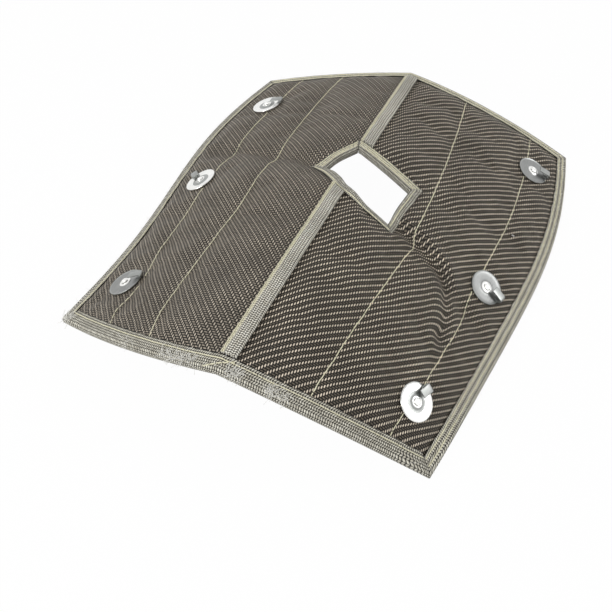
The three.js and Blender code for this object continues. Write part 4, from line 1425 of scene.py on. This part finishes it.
worn = worn_group()
# All the steel here is one stainless steel, and its copies differ only by painted reflection: the bright copy
# is a painted highlight, and the grey and darker tab copies are painted shade.
bright_painted_steel = steel_material("steel_painted_bright", worn, rgb(0.93, 0.93, 0.91), rgb(0.80, 0.80, 0.78), 0.2)
grey_painted_steel = steel_material("steel_painted_grey", worn, rgb(0.33, 0.335, 0.33), rgb(0.25, 0.255, 0.25), 0.3)
shade_painted_steel = steel_material("shade_painted_steel", worn, rgb(0.40, 0.41, 0.40), rgb(0.30, 0.31, 0.30), 0.34)

# %% Six washers with rivets
BORE = 1.9
SHEET = 0.9
BACK_SHEET = 0.8
PIN_NECK, PIN_HEAD = 1.6, 2.6
DISC_SIDES, PIN_SIDES, BACK_SIDES = 72, 32, 56
DISC = [(BORE, 0.1), (BORE, 1.2), (2.1, 1.5), (2.6, 1.78), (3.3, 1.85), (3.9, 1.7), (4.4, 1.35),
        (4.9, 1.02), (5.4, 0.92), (7, 0.9), (9, 0.9), (11.2, 0.9), (11.8, 1.0), (12.3, 1.22), (12.6, 1.4),
        (12.7, 1.28), (12.7, 0.6), (12.3, 0.35), (11.6, 0.06), (11.2, 0), (2.2, 0)]
EYELET_PART, RING_PART, RIM_PART = range(0, 6), range(5, 9), range(12, 17)
BACK = [(BORE, 0.0), (8.8, 0.0), (9, 0.15), (9, 0.65), (8.8, BACK_SHEET), (BORE, BACK_SHEET)]
# These three washers are painted grey: a darker painted reflection, not a different finish.
PAINTED_GREY_WASHERS = ("middle_right", "rear_right", "front_left")


def pin_profile(low, top):
    back = [(0.02, low - 0.77), (1.6, low - 0.77), (2.3, low - 0.6), (PIN_HEAD, low), (PIN_NECK, low)]
    front = [(PIN_NECK, top), (PIN_HEAD, top), (2.55, top + 0.45), (2.1, top + 0.72), (1.75, top + 0.45)]
    return back + front + [(1.35, top + 0.5), (1.0, top + 1.02), (0.02, top + 1.1)]


# Painted reflection by part: the ring round the eyelet on bright washers and the rim on grey ones take the
# darker copy, and every eyelet takes the bright copy.
def steel_of(face, painted_grey):
    if face.index >= DISC_SIDES * len(DISC):
        return 1
    segment = face.index % len(DISC)
    if segment in (RIM_PART if painted_grey else RING_PART):
        return 1
    return 2 if segment in EYELET_PART else 0


for name, (panel, _, turn) in WASHERS.items():
    seat = SEATS[name]
    half = SEAT_THICKNESS / 2 * (1 / math.sqrt(1 + seat["slopes"][0] ** 2 + seat["slopes"][1] ** 2))
    painted_grey = name in PAINTED_GREY_WASHERS
    on_top = seat_frame(seat, half + CLEARANCE, turn)
    pressed = [lathe(DISC, DISC_SIDES), folded_tab()]
    disc_steel = grey_painted_steel if painted_grey else bright_painted_steel
    washer = steel_piece("steel_hook_" + name, pressed, on_top, disc_steel, "hook_washer_" + name)
    washer.data.materials.append(shade_painted_steel)
    washer.data.materials.append(bright_painted_steel)
    for face in washer.data.polygons:
        face.material_index = steel_of(face, painted_grey)
    pin = pin_profile(-half - 2 * CLEARANCE - BACK_SHEET, half + 2 * CLEARANCE + 2 * SHEET)
    centre = seat_frame(seat, 0, turn)
    steel_piece("steel_rivet_" + name, [lathe(pin, PIN_SIDES)], centre, bright_painted_steel, "rivet_" + name)
    under = seat_frame(seat, -half - CLEARANCE - BACK_SHEET, 0)
    backing = [lathe(BACK, BACK_SIDES)]
    steel_piece("steel_backing_" + name, backing, under, grey_painted_steel, "backing_washer_" + name)
print("steel pieces:", 3 * len(WASHERS))
